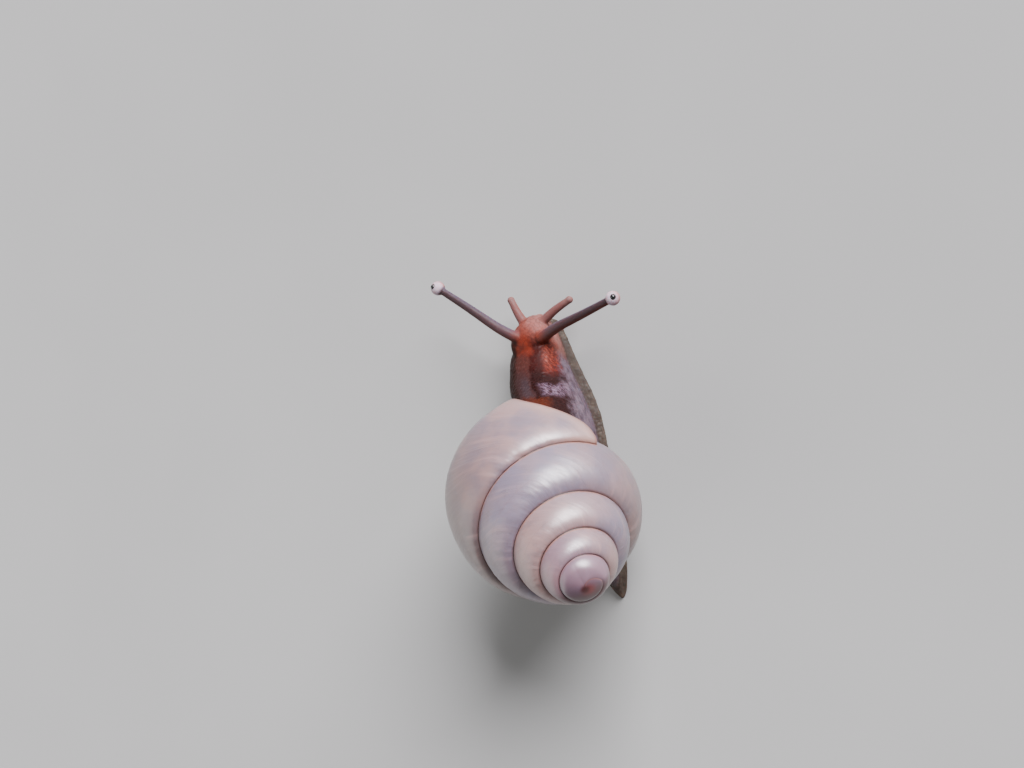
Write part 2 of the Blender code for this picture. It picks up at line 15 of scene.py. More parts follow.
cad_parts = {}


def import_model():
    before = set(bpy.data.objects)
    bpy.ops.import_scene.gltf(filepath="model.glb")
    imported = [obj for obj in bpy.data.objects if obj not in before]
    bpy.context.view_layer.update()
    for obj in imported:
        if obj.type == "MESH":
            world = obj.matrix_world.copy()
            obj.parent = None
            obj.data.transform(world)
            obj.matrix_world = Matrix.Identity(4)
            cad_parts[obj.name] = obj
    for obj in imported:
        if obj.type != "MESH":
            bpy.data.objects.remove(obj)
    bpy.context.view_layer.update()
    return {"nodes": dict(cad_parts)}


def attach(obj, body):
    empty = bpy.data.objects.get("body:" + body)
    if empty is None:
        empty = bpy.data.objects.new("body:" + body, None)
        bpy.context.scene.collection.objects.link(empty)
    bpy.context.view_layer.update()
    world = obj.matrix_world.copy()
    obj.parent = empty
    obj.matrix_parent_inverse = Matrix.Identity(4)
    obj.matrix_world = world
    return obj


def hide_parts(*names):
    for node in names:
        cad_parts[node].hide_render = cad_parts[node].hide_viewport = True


MM = 0.001
TURN = 2.0 * math.pi

# Camera: the photo's frame is 1024 pixels wide, and its focal length is given in pixels.
FRAME_WIDTH = 1024.0
FOCAL_PIXELS = 1450.0
SENSOR_WIDTH = 36.0
CAMERA_PLACE = Vector((-69.9, 0.0, 133.0))
CAMERA_RIGHT = Vector((-0.8225, 0.2707, -0.5))
CAMERA_UP = Vector((-0.285, -0.9568, -0.05))
CAMERA_BACK = Vector((-0.4919, 0.1016, 0.865))

# Shell spiral, as in the CAD part.
SUTURE_RADIUS = 8.46
SUTURE_DEPTH = 14.02
SPIRAL_GROWTH = 0.0524
SPIRAL_OFFSET = 0.1166
SPIRAL_REF_TURN = 8.0 * math.pi + 0.2
SUTURE_END = SPIRAL_REF_TURN + 0.3
SPIRAL_PHASE = 1.1468
SPIRAL_START = SUTURE_END - 4.15 * TURN
NUCLEUS_OPENING = 1.3
WHORL_BULGE = 1.0
LAST_WHORL_BULGE = 1.1
LAST_WHORL_SPREAD = 0.42
LAST_WHORL_DROP = 1.06
BASE_DEPTH = 3.6
BASE_MIDDLE = 0.52
BASE_ARC = math.radians(145.0)
UMBILICUS_RIM = 0.85
UMBILICUS_DEPTH = 0.8
LIP_LAG = [(0.0, 0.0), (0.3, 0.06), (0.5, 0.16), (0.6, 0.26), (0.8, 0.48), (1.0, 0.67),
           (1.15, 0.76), (1.35, 0.86), (1.7, 0.98), (2.0, 1.02)]
APEX = Vector((-7.9, 7.44, 20.8))
AXIS_RISE = math.radians(41.2)
AXIS_TURN = math.radians(40.0)
AXIS_SPIN = math.radians(-38.45)
# A profile ends on the axis, and the lag sets in at a share of the last whorl.
PROFILE_END = 2.0
LAG_START = 0.55
LAG_SPAN = 0.45

# Fineness of a mesh of the shell: steps in a turn and in all, rows on a whorl's side and base.
FINE_MESH = (400, 1660, 34, 34)
COARSE_MESH = (160, 664, 16, 20)

# Lip and the recess behind it. Its depth and the lip's bend are angles about the shell's axis.
LIP_THICKNESS = 0.28
LIP_BEND = 0.012
MOUTH_DEPTH = 0.34
MOUTH_TAPER = 0.84
MOUTH_RINGS = 10

# Relief of the shell. The growth fields run along the whorl and across it in millimetres, and a
# gap to a suture that isn't near is far.
ALONG_SIZE = 8.0
ACROSS_SIZE = 5.0
SLANT = 0.9
SIDE_ARC = 1.12
FAR = 20.0
SUTURE_GROOVE = 0.05
SUTURE_GROOVE_WIDTH = 0.10
GROWTH_RELIEF = 0.016
WRINKLE_RELIEF = 0.026
SWELL_RELIEF = 0.03
# Each noise of the relief: how much of across it takes, its place, its grain and its octaves.
FINE_THREADS = (0.22, 0.0, 0.55, 4)
SLANT_WRINKLES = (0.35, 55.0, 0.8, 2)
BROAD_SWELLS = (0.30, 9.0, 2.6, 2)
WRINKLE_PATCHES = (1.0, 31.0, 5.0, 2)

# Tip of the shell, round its axis. The red stains are beside the place where the coil starts.
NUCLEUS_STAINS = [("nucleus_glow", (0.20, -0.36), 1.15), ("nucleus_spot", (-0.10, -0.14), 0.66)]
STAIN_DEPTH = 3.0
# The first whorls are dark red on their lower side, partly their own colour and partly painted shade.
WARM_TURNS = 1.3
WARM_FADE = 0.6
WARM_SIDE = 0.3
WARM_SIDE_FADE = 1.8
APEX_SOFT_RADIUS = 1.9
APEX_SOFT_FADE = 0.7
APEX_SMOOTHING = 200

# Foot and body, as in the CAD part.
SOLE_FRONT = -20.9
SOLE_TAIL = 9.0
BODY_STATIONS = [
    # y, x of the middle, sole half width, body half width, top height, lean, shoulder
    (-20.9, -0.1, 0.35, 0.3, 0.75, 0.0, 1.0),
    (-20.6, -0.1, 1.15, 0.9, 1.15, 0.0, 1.0),
    (-20.1, -0.1, 1.7, 1.3, 1.9, 0.0, 1.0),
    (-19.2, 0.25, 2.3, 2.1, 3.5, 0.0, 0.9),
    (-17.8, 0.75, 3.05, 2.85, 4.7, -0.35, 0.85),
    (-16.0, 0.9, 3.45, 3.1, 5.9, -0.5, 0.8),
    (-14.0, 0.85, 3.75, 3.35, 7.4, -0.9, 0.75),
    (-12.0, 0.45, 3.75, 3.3, 9.2, -1.65, 0.65),
    (-9.5, 0.0, 3.5, 3.15, 11.5, -2.3, 0.5),
    (-7.0, 0.0, 3.35, 3.0, 11.5, -2.8, 0.5),
    (-5.0, 0.0, 3.1, 2.7, 9.5, -2.6, 0.6),
    (-3.2, 0.0, 2.9, 2.3, 6.2, -1.2, 0.7),
    (-1.0, 0.0, 2.6, 1.9, 4.2, -0.3, 0.8),
    (2.0, 0.0, 2.25, 1.5, 3.2, 0.0, 1.0),
    (5.0, 0.0, 1.75, 1.1, 1.9, 0.0, 1.0),
    (7.3, 0.0, 1.1, 0.65, 1.1, 0.0, 1.0),
    (8.6, 0.0, 0.5, 0.28, 0.6, 0.0, 1.0),
    (9.0, 0.0, 0.18, 0.1, 0.35, 0.0, 1.0),
]
STATION_COUNT = 150
END_CROWDING = 0.6
SOLE_POINTS = 13
BACK_POINTS = 40
MARGIN_STEPS = [(1.0, 0.26), (0.97, 0.36), (0.9, 0.48), (0.68, 0.58), (0.45, 0.68), (0.18, 0.82),
                (0.0, 1.05)]
MARGIN_FULL_HEIGHT = 2.4
SOLE_FLAT = 0.92
WAIST = 0.9
WAIST_LIMIT = 0.9
FLANK_SWELL = 0.22

# Head and feelers, as in the CAD part.
HEAD_FORMS = {
    # The middle and the half sizes of each rounded form.
    "head": ((0.35, -18.6, 3.0), (2.35, 2.35, 1.8)),
    "muzzle": ((-0.05, -20.05, 2.55), (1.55, 1.3, 1.2)),
    "left_cheek": ((1.75, -18.3, 3.4), (0.75, 1.6, 1.3)),
    "right_lip": ((-0.62, -20.85, 2.05), (0.6, 0.5, 0.5)),
    "left_lip": ((0.42, -20.9, 2.05), (0.6, 0.5, 0.5)),
}
MOUTH_LINE = ((-0.1, -21.4, 2.02), (0.75, 0.32, 0.11))
UPPER_ROOT_RADIUS = 0.62
UPPER_TIP_RADIUS = 0.38
BULB_RADIUS = 0.74
EYE_RADIUS = 0.28
EYE_FORWARD = 0.6
EYE_SINK = 0.55
EYE_SEAT_GAP = 0.02
LOWER_ROOT_RADIUS = 0.52
LOWER_TIP_RADIUS = 0.37
LOWER_KNOB_RADIUS = 0.40
UPPER_FEELERS = {
    "right": [(-1.2, -18.55, 4.0), (-3.85, -18.95, 4.95), (-7.3, -19.15, 5.85),
              (-10.72, -19.45, 6.45)],
    "left": [(0.95, -19.05, 4.1), (2.5, -20.85, 5.3), (4.75, -23.75, 6.2), (6.9, -26.25, 6.65)],
}
LOWER_FEELERS = {
    "right": [(-1.15, -20.3, 2.75), (-3.0, -21.0, 2.75), (-4.7, -21.45, 2.7)],
    "left": [(0.85, -20.75, 2.75), (1.3, -22.15, 2.75), (1.6, -23.4, 2.7)],
}
FEELER_KINDS = [
    (UPPER_FEELERS, UPPER_ROOT_RADIUS, UPPER_TIP_RADIUS, BULB_RADIUS),
    (LOWER_FEELERS, LOWER_ROOT_RADIUS, LOWER_TIP_RADIUS, LOWER_KNOB_RADIUS),
]
FEELER_SIDES = 28
FEELER_STEPS = 60
BULB_STEPS = 24
BULB_REACH = 1.6
NEAR_TIP = 0.93

# Skin mesh and its relief. The cushion of mantle in the mouth has rings at shares of the
# recess's depth, each narrowed by a factor.
SKIN_GRAIN = 0.085
SHELL_CLEARANCE = 0.06
TUBERCLE_SIZE = 0.42
TUBERCLE_HEIGHT = 0.05
TUBERCLE_SEED = 7
MANTLE_REACH = 0.45
MANTLE_RINGS = [(0.02, 0.80), (0.035, 0.92), (0.10, 1.0), (0.4, 1.0), (0.75, 1.0)]
TRIM_RINGS = (0.33, 0.66, 1.0)
TRIM_DEPTH = 0.8
ROOT_SMOOTHING = 18
FOLD_SIZE = 0.5
FOLD_HEIGHT = 0.045
FURROW_LEVEL = 0.88
FURROW_WIDTH = 0.10
FURROW_DEPTH = 0.05
FRONT = np.array((-0.285, -0.957, 0.0))
ROW_SLANT = 1.13

# Stage: each sun's name, way to it, strength, width in degrees and colour.
SUNS = [
    ("key", CAMERA_BACK * 1.05 + CAMERA_UP * 1.15 + CAMERA_RIGHT * 0.22, 15.0, 42.0, (0.98, 0.96, 1.0)),
    ("fill", Vector((0.85, 0.20, 0.45)), 1.9, 70.0, (1.0, 0.97, 0.95)),
]
SURROUND_COLOUR = (0.86, 0.88, 0.92, 1.0)
SURROUND_STRENGTH = 0.24
FLOOR_REACH = 600.0


def spline_point(points, u):
    """Catmull-Rom point on a list of tuples, u from 0 to 1."""
    count = len(points) - 1
    place = min(max(u, 0.0), 1.0) * count
    index = min(int(place), count - 1)
    f = place - index
    p1 = points[index]
    p2 = points[index + 1]
    p0 = points[index - 1] if index > 0 else [2.0 * a - b for a, b in zip(p1, p2)]
    p3 = points[index + 2] if index + 2 <= count else [2.0 * b - a for a, b in zip(p1, p2)]
    return [
        0.5 * (2 * b + (c - a) * f + (2 * a - 5 * b + 4 * c - d) * f * f
               + (3 * b - a - 3 * c + d) * f ** 3)
        for a, b, c, d in zip(p0, p1, p2, p3)
    ]


def ease(x):
    """Ease from 0 to 1, for numbers or arrays."""
    x = np.clip(x, 0.0, 1.0)
    return x * x * (3.0 - 2.0 * x)


def table_curve(rows, x):
    """Smooth curve through a table of pairs, for arrays."""
    xs = np.array([row[0] for row in rows])
    ys = np.array([row[1] for row in rows])
    slopes = np.gradient(ys, xs)
    place = np.clip(np.searchsorted(xs, x, side="right") - 1, 0, len(xs) - 2)
    span = xs[place + 1] - xs[place]
    f = np.clip((x - xs[place]) / span, 0.0, 1.0)
    h00 = 2 * f ** 3 - 3 * f * f + 1
    h10 = f ** 3 - 2 * f * f + f
    h01 = 3 * f * f - 2 * f ** 3
    h11 = f ** 3 - f * f
    return (h00 * ys[place] + h10 * span * slopes[place]
            + h01 * ys[place + 1] + h11 * span * slopes[place + 1])


def add_object(name, data):
    """Put an object in the scene."""
    obj = bpy.data.objects.new(name, data)
    bpy.context.scene.collection.objects.link(obj)
    return obj


def new_object(name, vertices, faces):
    """Make an object in metres from vertices in millimetres."""
    mesh = bpy.data.meshes.new(name)
    mesh.from_pydata([tuple(v) for v in np.asarray(vertices, float) * MM], [], faces)
    mesh.validate()
    mesh.update()
    bm = bmesh.new()
    bm.from_mesh(mesh)
    bmesh.ops.recalc_face_normals(bm, faces=bm.faces)
    bm.to_mesh(mesh)
    bm.free()
    mesh.shade_smooth()
    return add_object(name, mesh)


def apply_modifiers(obj):
    """Replace an object's mesh by its evaluated one."""
    graph = bpy.context.evaluated_depsgraph_get()
    graph.update()
    mesh = bpy.data.meshes.new_from_object(obj.evaluated_get(graph))
    obj.modifiers.clear()
    obj.data = mesh


def soften_part(obj, name, weight, rounds):
    """Smooth the part of an object that has weight."""
    group = obj.vertex_groups.new(name=name)
    for i in np.nonzero(weight > 0.01)[0]:
        group.add([int(i)], float(weight[i]), "REPLACE")
    flow = obj.modifiers.new(name, "SMOOTH")
    flow.factor = 0.5
    flow.iterations = rounds
    flow.vertex_group = group.name
    apply_modifiers(obj)
    obj.vertex_groups.clear()


def combine(obj, others, operation):
    """Join or cut one closed mesh with others, apply the result and remove the others."""
    for other in others:
        modifier = obj.modifiers.new(operation.lower(), "BOOLEAN")
        modifier.operation = operation
        modifier.solver = "MANIFOLD"
        modifier.object = other
    apply_modifiers(obj)
    for other in others:
        bpy.data.objects.remove(other, do_unlink=True)


def keep_largest(obj):
    """Keep the closed surface with the most vertices."""
    bm = bmesh.new()
    bm.from_mesh(obj.data)
    left = set(bm.verts)
    groups = []
    while left:
        stack = [left.pop()]
        group = []
        while stack:
            vert = stack.pop()
            group.append(vert)
            near = {edge.other_vert(vert) for edge in vert.link_edges} & left
            left -= near
            stack += near
        groups.append(group)
    groups.sort(key=len)
    scraps = [vert for group in groups[:-1] for vert in group]
    bmesh.ops.delete(bm, geom=scraps, context="VERTS")
    bm.to_mesh(obj.data)
    bm.free()


def vertex_data(obj, key):
    """One vector per vertex, co or normal, as Blender keeps it."""
    values = np.empty(len(obj.data.vertices) * 3)
    obj.data.vertices.foreach_get(key, values)
    return values.reshape(-1, 3)


def set_vertices(obj, places):
    """Write vertex places given in millimetres."""
    obj.data.vertices.foreach_set("co", (places * MM).ravel())
    obj.data.update()


def set_field(obj, name, values):
    """Keep one number or one vector per vertex for the material to read."""
    values = np.asarray(values, np.float32)
    kind, key = ("FLOAT", "value") if values.ndim == 1 else ("FLOAT_VECTOR", "vector")
    obj.data.attributes.new(name, kind, "POINT").data.foreach_set(key, values.ravel())


def rows_of(x, y, z):
    """Put three coordinates side by side."""
    return np.stack([x, y, z], axis=-1)


# Shell


def spiral_size(t):
    """Relative size of the suture at growth angle t."""
    grown = np.exp(SPIRAL_GROWTH * (t - SPIRAL_REF_TURN))
    return (grown - SPIRAL_OFFSET) / (1.0 - SPIRAL_OFFSET)


def suture(t):
    """Radius and depth of the suture, which opens quickly from the nucleus on the axis."""
    size = spiral_size(np.maximum(t, 0.0))
    opening = np.clip((t - SPIRAL_START) / (NUCLEUS_OPENING - SPIRAL_START), 0.0, 1.0)
    return SUTURE_RADIUS * size * opening ** 0.8, SUTURE_DEPTH * size


def lower_edge(t):
    """Where a whorl's side ends: the next suture, or the side of the last whorl."""
    radius, depth = suture(t + TURN)
    end_radius, end_depth = suture(np.array(SUTURE_END))
    last = t + TURN > SUTURE_END
    spread = np.where(last, LAST_WHORL_SPREAD, 1.0)
    drop = np.where(last, LAST_WHORL_DROP, 1.0)
    return end_radius + (radius - end_radius) * spread, end_depth + (depth - end_depth) * drop


def whorl_profile(t, v):
    """Radius and depth on a whorl: v 0 to 1 down its side, 1 to 2 under its base."""
    top_radius, top_depth = suture(t)
    side_radius, side_depth = lower_edge(t)
    share = (t + TURN - SUTURE_END) / TURN
    bulge = WHORL_BULGE + (LAST_WHORL_BULGE - WHORL_BULGE) * ease(2.5 * share)
    angle = np.clip(v, 0.0, 1.0) * math.pi / 2.0
    out = (1.0 - bulge) * v + bulge * np.sin(angle)
    down = (1.0 - bulge) * v + bulge * (1.0 - np.cos(angle))
    whorl_radius = top_radius + (side_radius - top_radius) * out
    whorl_depth = top_depth + (side_depth - top_depth) * down
    across = np.maximum(v - 1.0, 0.0)
    depth = BASE_DEPTH * side_radius / SUTURE_RADIUS
    turned = np.minimum(across / UMBILICUS_RIM, 1.0) * BASE_ARC
    inner = np.maximum(across - UMBILICUS_RIM, 0.0) / (1.0 - UMBILICUS_RIM)
    base_radius = side_radius * (BASE_MIDDLE + (1.0 - BASE_MIDDLE) * np.cos(turned)) * (1.0 - inner)
    base_depth = side_depth + depth * np.sin(turned) - UMBILICUS_DEPTH * ease(inner)
    under = v > 1.0
    return np.where(under, base_radius, whorl_radius), np.where(under, base_depth, whorl_depth)


def shell_points(t, v, lag):
    """Points of the shell in its own frame, +Z to the apex along the axis."""
    radius, depth = whorl_profile(t - lag, v)
    angle = SPIRAL_PHASE - (t - lag)
    return rows_of(radius * np.cos(angle), radius * np.sin(angle), -depth)


def row_places(count):
    """Places from 0 to 1 that crowd towards both ends."""
    even = np.arange(count + 1) / count
    return 0.35 * even + 0.65 * (0.5 - 0.5 * np.cos(math.pi * even))


def shell_placement():
    """Matrix that stands the shell on the animal's back, in metres."""
    axis = Vector((
        -math.cos(AXIS_RISE) * math.sin(AXIS_TURN),
        math.cos(AXIS_RISE) * math.cos(AXIS_TURN),
        math.sin(AXIS_RISE),
    ))
    level = Vector((0.0, 0.0, 1.0)).cross(axis).normalized()
    other = axis.cross(level)
    side = math.cos(AXIS_SPIN) * level + math.sin(AXIS_SPIN) * other
    up = axis.cross(side)
    rotation = Matrix((side, up, axis)).transposed().to_4x4()
    return Matrix.Translation(APEX * MM) @ rotation


def lag_share(share):
    """How much of the lip's lag the growth lines have at a share of the last whorl."""
    return float(ease((share - LAG_START) / LAG_SPAN))


def shell_surface(steps_per_turn, steps, whorl_rows, base_rows):
    """Outer surface of the shell: vertices, faces, mouth loop and growth fields."""
    step = TURN / steps_per_turn
    rows = row_places(whorl_rows)
    base = 1.0 + np.arange(1, base_rows) / base_rows
    vertices = []
    fields = []
    faces = []

    def add(points, t, v, phase):
        """Add points with their growth fields and return their numbers."""
        first = sum(len(block) for block in vertices)
        vertices.append(points)
        fields.append(rows_of(t, v, phase))
        return np.arange(first, first + len(points))

    edge_turns = SPIRAL_START + np.arange(steps + 1) * step
    zero = np.zeros(steps + 1)
    edge = add(shell_points(edge_turns, zero, zero), edge_turns, zero, edge_turns)
    columns = []
    for i in range(1 - steps_per_turn, steps + 1):
        t = SPIRAL_START + i * step
        # The last whorl's growth lines lag more and more towards the lip.
        last = i - (steps - steps_per_turn)
        inner = rows[1:-1] if last <= 0 else rows[1:]
        full_lag = table_curve(LIP_LAG, inner)
        lag = full_lag * lag_share(last / steps_per_turn)
        turns = np.full(len(inner), t)
        own = add(shell_points(turns, inner, lag), turns - lag, inner, turns - lag + full_lag)
        low = [edge[i + steps_per_turn]] if last <= 0 else []
        columns.append(np.concatenate([[edge[max(i, 0)]], own, low]).astype(int))
    first_last = len(columns) - steps_per_turn - 1
    base_columns = []
    full_lag = table_curve(LIP_LAG, base)
    side_lag = float(table_curve(LIP_LAG, np.array([1.0]))[0])
    for j in range(steps_per_turn + 1):
        t = SPIRAL_START + (steps - steps_per_turn + j) * step
        lag = side_lag * lag_share(j / steps_per_turn) + full_lag - side_lag
        turns = np.full(len(base), t)
        own = add(shell_points(turns, base, lag), turns - lag, base, turns - lag + full_lag)
        base_columns.append(np.concatenate([[columns[first_last + j][-1]], own]))
    end = np.array([SUTURE_END])
    bottom = np.array([PROFILE_END])
    depth = np.mean([whorl_profile(t, bottom)[1] for t in (end, end - TURN)])
    pit = add(np.array([[0.0, 0.0, -depth]]), end, bottom, end)[0]
    first = columns[0]
    faces += [(first[0], first[k], first[k + 1]) for k in range(1, len(first) - 1)]
    for group in (columns, base_columns):
        for a, b in zip(group, group[1:]):
            for k in range(min(len(a), len(b)) - 1):
                joined = (a[k],) if a[k] == b[k] else (a[k], b[k])
                faces.append((*joined, b[k + 1], a[k + 1]))
    for a, b in zip(base_columns, base_columns[1:]):
        faces.append((a[-1], b[-1], pit))
    loop = list(columns[-1]) + list(base_columns[-1][1:]) + [pit] + list(base_columns[0][1:][::-1])
    faces = [tuple(int(k) for k in face) for face in faces]
    return np.concatenate(vertices), faces, loop, np.concatenate(fields)


def shrink_loop(points, distance):
    """Move each point of a loop towards the middle by a distance."""
    middle = points.mean(axis=0)
    way = middle - points
    length = np.linalg.norm(way, axis=1, keepdims=True)
    return points + way / length * np.minimum(distance, 0.4 * length)


def recess_loop(points, angle, scale):
    """Turn a loop back into the whorl about the shell's axis and narrow it."""
    middle = points.mean(axis=0)
    c = math.cos(angle)
    s = math.sin(angle)
    x, y, z = (middle + (points - middle) * scale).T
    return rows_of(x * c - y * s, x * s + y * c, z)


def stitch_rings(faces, ring_a, ring_b):
    """Join two rings of vertex numbers."""
    count = len(ring_a)
    for i in range(count):
        j = (i + 1) % count
        faces.append((int(ring_a[i]), int(ring_a[j]), int(ring_b[j]), int(ring_b[i])))


def close_ring(vertices, faces, ring):
    """Close a ring with a fan and return the vertices with the fan's middle."""
    middle = vertices[ring].mean(axis=0)
    centre = len(vertices)
    for i in range(len(ring)):
        faces.append((int(ring[i]), int(ring[(i + 1) % len(ring)]), centre))
    return np.vstack([vertices, middle])


def add_rings(vertices, faces, loop, rings):
    """Stitch rings to a loop, one behind the other, and close the last one."""
    previous = np.array(loop)
    for ring in rings:
        numbers = np.arange(len(vertices), len(vertices) + len(ring))
        vertices = np.vstack([vertices, ring])
        stitch_rings(faces, previous, numbers)
        previous = numbers
    return close_ring(vertices, faces, previous)


def mouth_ring(loop, depth, share, narrow=1.0):
    """Ring of the recess behind the mouth, at a share of its depth."""
    return recess_loop(loop, depth * share, (1.0 + (MOUTH_TAPER - 1.0) * share) * narrow)


def fractal(points, scale, octaves):
    """Smooth noise at each point, about -1 to 1."""
    return np.array([
        noise.fractal(Vector(p) / scale, 1.0, 2.0, octaves, noise_basis="PERLIN_ORIGINAL")
        for p in points
    ])


def growth_relief(t, v, phase):
    """Height of the growth wrinkles, in millimetres: fine threads that come and go."""
    along = phase * ALONG_SIZE
    across = v * ACROSS_SIZE

    def rough(run, kind):
        """One of the noises that run along the growth lines."""
        stretch, seed, grain, octaves = kind
        return fractal(rows_of(run, across * stretch, np.full(len(run), seed)), grain, octaves)

    patch = rough(along, WRINKLE_PATCHES)
    threads = GROWTH_RELIEF * rough(along, FINE_THREADS) * (0.6 + 0.8 * ease(0.5 + patch))
    slant = rough(along + across * SLANT, SLANT_WRINKLES)
    wrinkles = WRINKLE_RELIEF * np.maximum(slant, 0.0) * ease(0.35 + 1.3 * patch)
    swells = SWELL_RELIEF * rough(along, BROAD_SWELLS)
    # The relief is faint on the first whorls and full on the last two.
    grown = ease((t - 6.0) / 12.0) + 0.2 * ease((t - 1.0) / 5.0)
    return (threads - wrinkles + swells) * grown


def suture_gap(t, v):
    """Distance to the nearest suture along a whorl's side, less than 0 just above the suture."""
    radius, depth = suture(t)
    low_radius, low_depth = suture(t + TURN)
    height = np.hypot(low_radius - radius, low_depth - depth) * SIDE_ARC
    to_lower = np.where((v <= 1.0) & (t + TURN <= SUTURE_END), (1.0 - v) * height, FAR)
    gap = np.where(v * height < to_lower, v * height, -to_lower)
    return np.where(v > 1.0, FAR, gap)


def finish_apex(shell, vertices, turns):
    """Mark the red stains of the shell's tip, and its dark red lower side that is partly painted shade, for
    its colours, and smooth the tip.
    """
    young = (vertices[:, 2] > -STAIN_DEPTH) * 1.0
    red_and_shade_side = ease((WARM_SIDE - vertices[:, 1]) / WARM_SIDE_FADE)
    set_field(shell, "apex_red_and_shade", ease((WARM_TURNS - turns) / WARM_FADE) * red_and_shade_side)
    for name, middle, size in NUCLEUS_STAINS:
        away = np.hypot(vertices[:, 0] - middle[0], vertices[:, 1] - middle[1])
        set_field(shell, name, young * ease((size - away) / size))
    from_axis = np.hypot(vertices[:, 0], vertices[:, 1])
    near = ease((APEX_SOFT_RADIUS - from_axis) / APEX_SOFT_FADE) * young
    soften_part(shell, "apex", near, APEX_SMOOTHING)


def make_shell(placement):
    """Make the fine shell with grooved sutures, growth wrinkles and a thin rolled lip."""
    vertices, faces, loop, fields = shell_surface(*FINE_MESH)
    outer = len(vertices)
    t, v, phase = fields.T
    rim = vertices[loop]
    inner = shrink_loop(rim, LIP_THICKNESS)
    rings = [recess_loop(shrink_loop(rim, 0.5 * LIP_THICKNESS), -LIP_BEND, 1.0), inner]
    rings += [mouth_ring(inner, MOUTH_DEPTH, (k + 1) / MOUTH_RINGS) for k in range(MOUTH_RINGS)]
    vertices = add_rings(vertices, faces, loop, rings)
    shell = new_object("shell_fine", vertices, faces)

    gap = suture_gap(t, v)
    settled = ease((t - 0.5) / 1.5)
    groove = SUTURE_GROOVE * np.exp(-(gap / SUTURE_GROOVE_WIDTH) ** 2) * settled
    rise = growth_relief(t, v, phase) - groove
    rise[loop] = 0.0
    places = vertices.copy()
    places[:outer] += vertex_data(shell, "normal")[:outer] * rise[:, None]
    set_vertices(shell, places)

    def padded(values, fill):
        """Add a fill for the points of the lip and the recess."""
        return np.concatenate([values, np.full(len(vertices) - outer, fill)])

    turns = padded(t, SUTURE_END) / TURN
    set_field(shell, "turns", turns)
    set_field(shell, "suture_gap", padded(gap, FAR))
    set_field(shell, "lip_gap", padded((SUTURE_END - phase) * ALONG_SIZE, 0.0))
    along = padded(phase * ALONG_SIZE, 0.0)
    across = padded(v * ACROSS_SIZE, 0.0)
    flat = np.zeros(len(vertices))
    set_field(shell, "growth", rows_of(along, across, flat))
    set_field(shell, "slant", rows_of(along + SLANT * across, across, flat))
    finish_apex(shell, vertices, turns)
    shell.data.transform(placement)
    return shell


# Skin


def station_sizes(y):
    """The stations' six sizes at places along the body."""
    return [table_curve([(row[0], row[k]) for row in BODY_STATIONS], y) for k in range(1, 7)]


def body_section(y):
    """One cross section of foot and body: flat sole, thin margin, waist and rounded back."""
    sizes = station_sizes(np.array([y]))
    middle, sole, body, top, lean, shoulder = [float(size[0]) for size in sizes]
    shrink = min(1.0, top / MARGIN_FULL_HEIGHT)
    waist = min(WAIST * body, WAIST_LIMIT * sole)
    margin = [(waist + (sole - waist) * out, height * shrink) for out, height in MARGIN_STEPS]
    base = margin[-1][1]
    points = []
    for i in range(SOLE_POINTS):
        share = 2.0 * i / (SOLE_POINTS - 1) - 1.0
        points.append((middle + SOLE_FLAT * sole * share, 0.0))
    points += [(middle + x, z) for x, z in margin]
    for i in range(1, BACK_POINTS):
        angle = math.pi * i / BACK_POINTS
        across = math.cos(angle)
        swell = WAIST + FLANK_SWELL * abs(math.sin(2.0 * angle))
        x = math.copysign(abs(across) ** shoulder, across) * swell * waist / WAIST
        rise = math.sin(angle)
        points.append((middle + x + lean * rise, base + (top - base) * rise))
    points += [(middle - x, z) for x, z in reversed(margin)]
    return [(x, y, z) for x, z in points]


def loft(name, sections):
    """Loft closed sections into one closed object."""
    vertices = np.concatenate([np.array(section, float) for section in sections])
    rings = np.arange(len(vertices)).reshape(len(sections), -1)
    faces = []
    for ring, following in zip(rings, rings[1:]):
        stitch_rings(faces, ring, following)
    for ring in (rings[0], rings[-1]):
        vertices = close_ring(vertices, faces, ring)
    return new_object(name, vertices, faces)


def make_body():
    """Loft foot, neck and the front of the body."""
    sections = []
    for i in range(STATION_COUNT + 1):
        share = i / STATION_COUNT
        share -= END_CROWDING * math.sin(TURN * share) / TURN
        sections.append(body_section(SOLE_FRONT + (SOLE_TAIL - SOLE_FRONT) * share))
    return loft("skin", sections)


def make_ellipsoid(name, middle, size, segments=48, rings=32):
    """Make a sphere stretched to three half sizes."""
    bm = bmesh.new()
    bmesh.ops.create_uvsphere(bm, u_segments=segments, v_segments=rings, radius=1.0)
    bmesh.ops.scale(bm, vec=Vector(size) * MM, verts=bm.verts)
    bmesh.ops.translate(bm, vec=Vector(middle) * MM, verts=bm.verts)
    mesh = bpy.data.meshes.new(name)
    bm.to_mesh(mesh)
    bm.free()
    mesh.shade_smooth()
    return add_object(name, mesh)


def tube_radius(u, root, tip):
    """Radius along a feeler, with a slight flare where it leaves the head."""
    return tip + (root - tip) * (1.0 - u) ** 1.3 + 0.12 * root * math.exp(-u * 14.0)


def bulb_place(path, tip, bulb):
    """Middle of the bulb on a feeler's end, the way it points and the angle of its neck."""
    end = Vector(spline_point(path, 1.0))
    way = (end - Vector(spline_point(path, NEAR_TIP))).normalized()
    neck = math.asin(tip / bulb)
    return end + way * bulb * math.cos(neck), way, neck


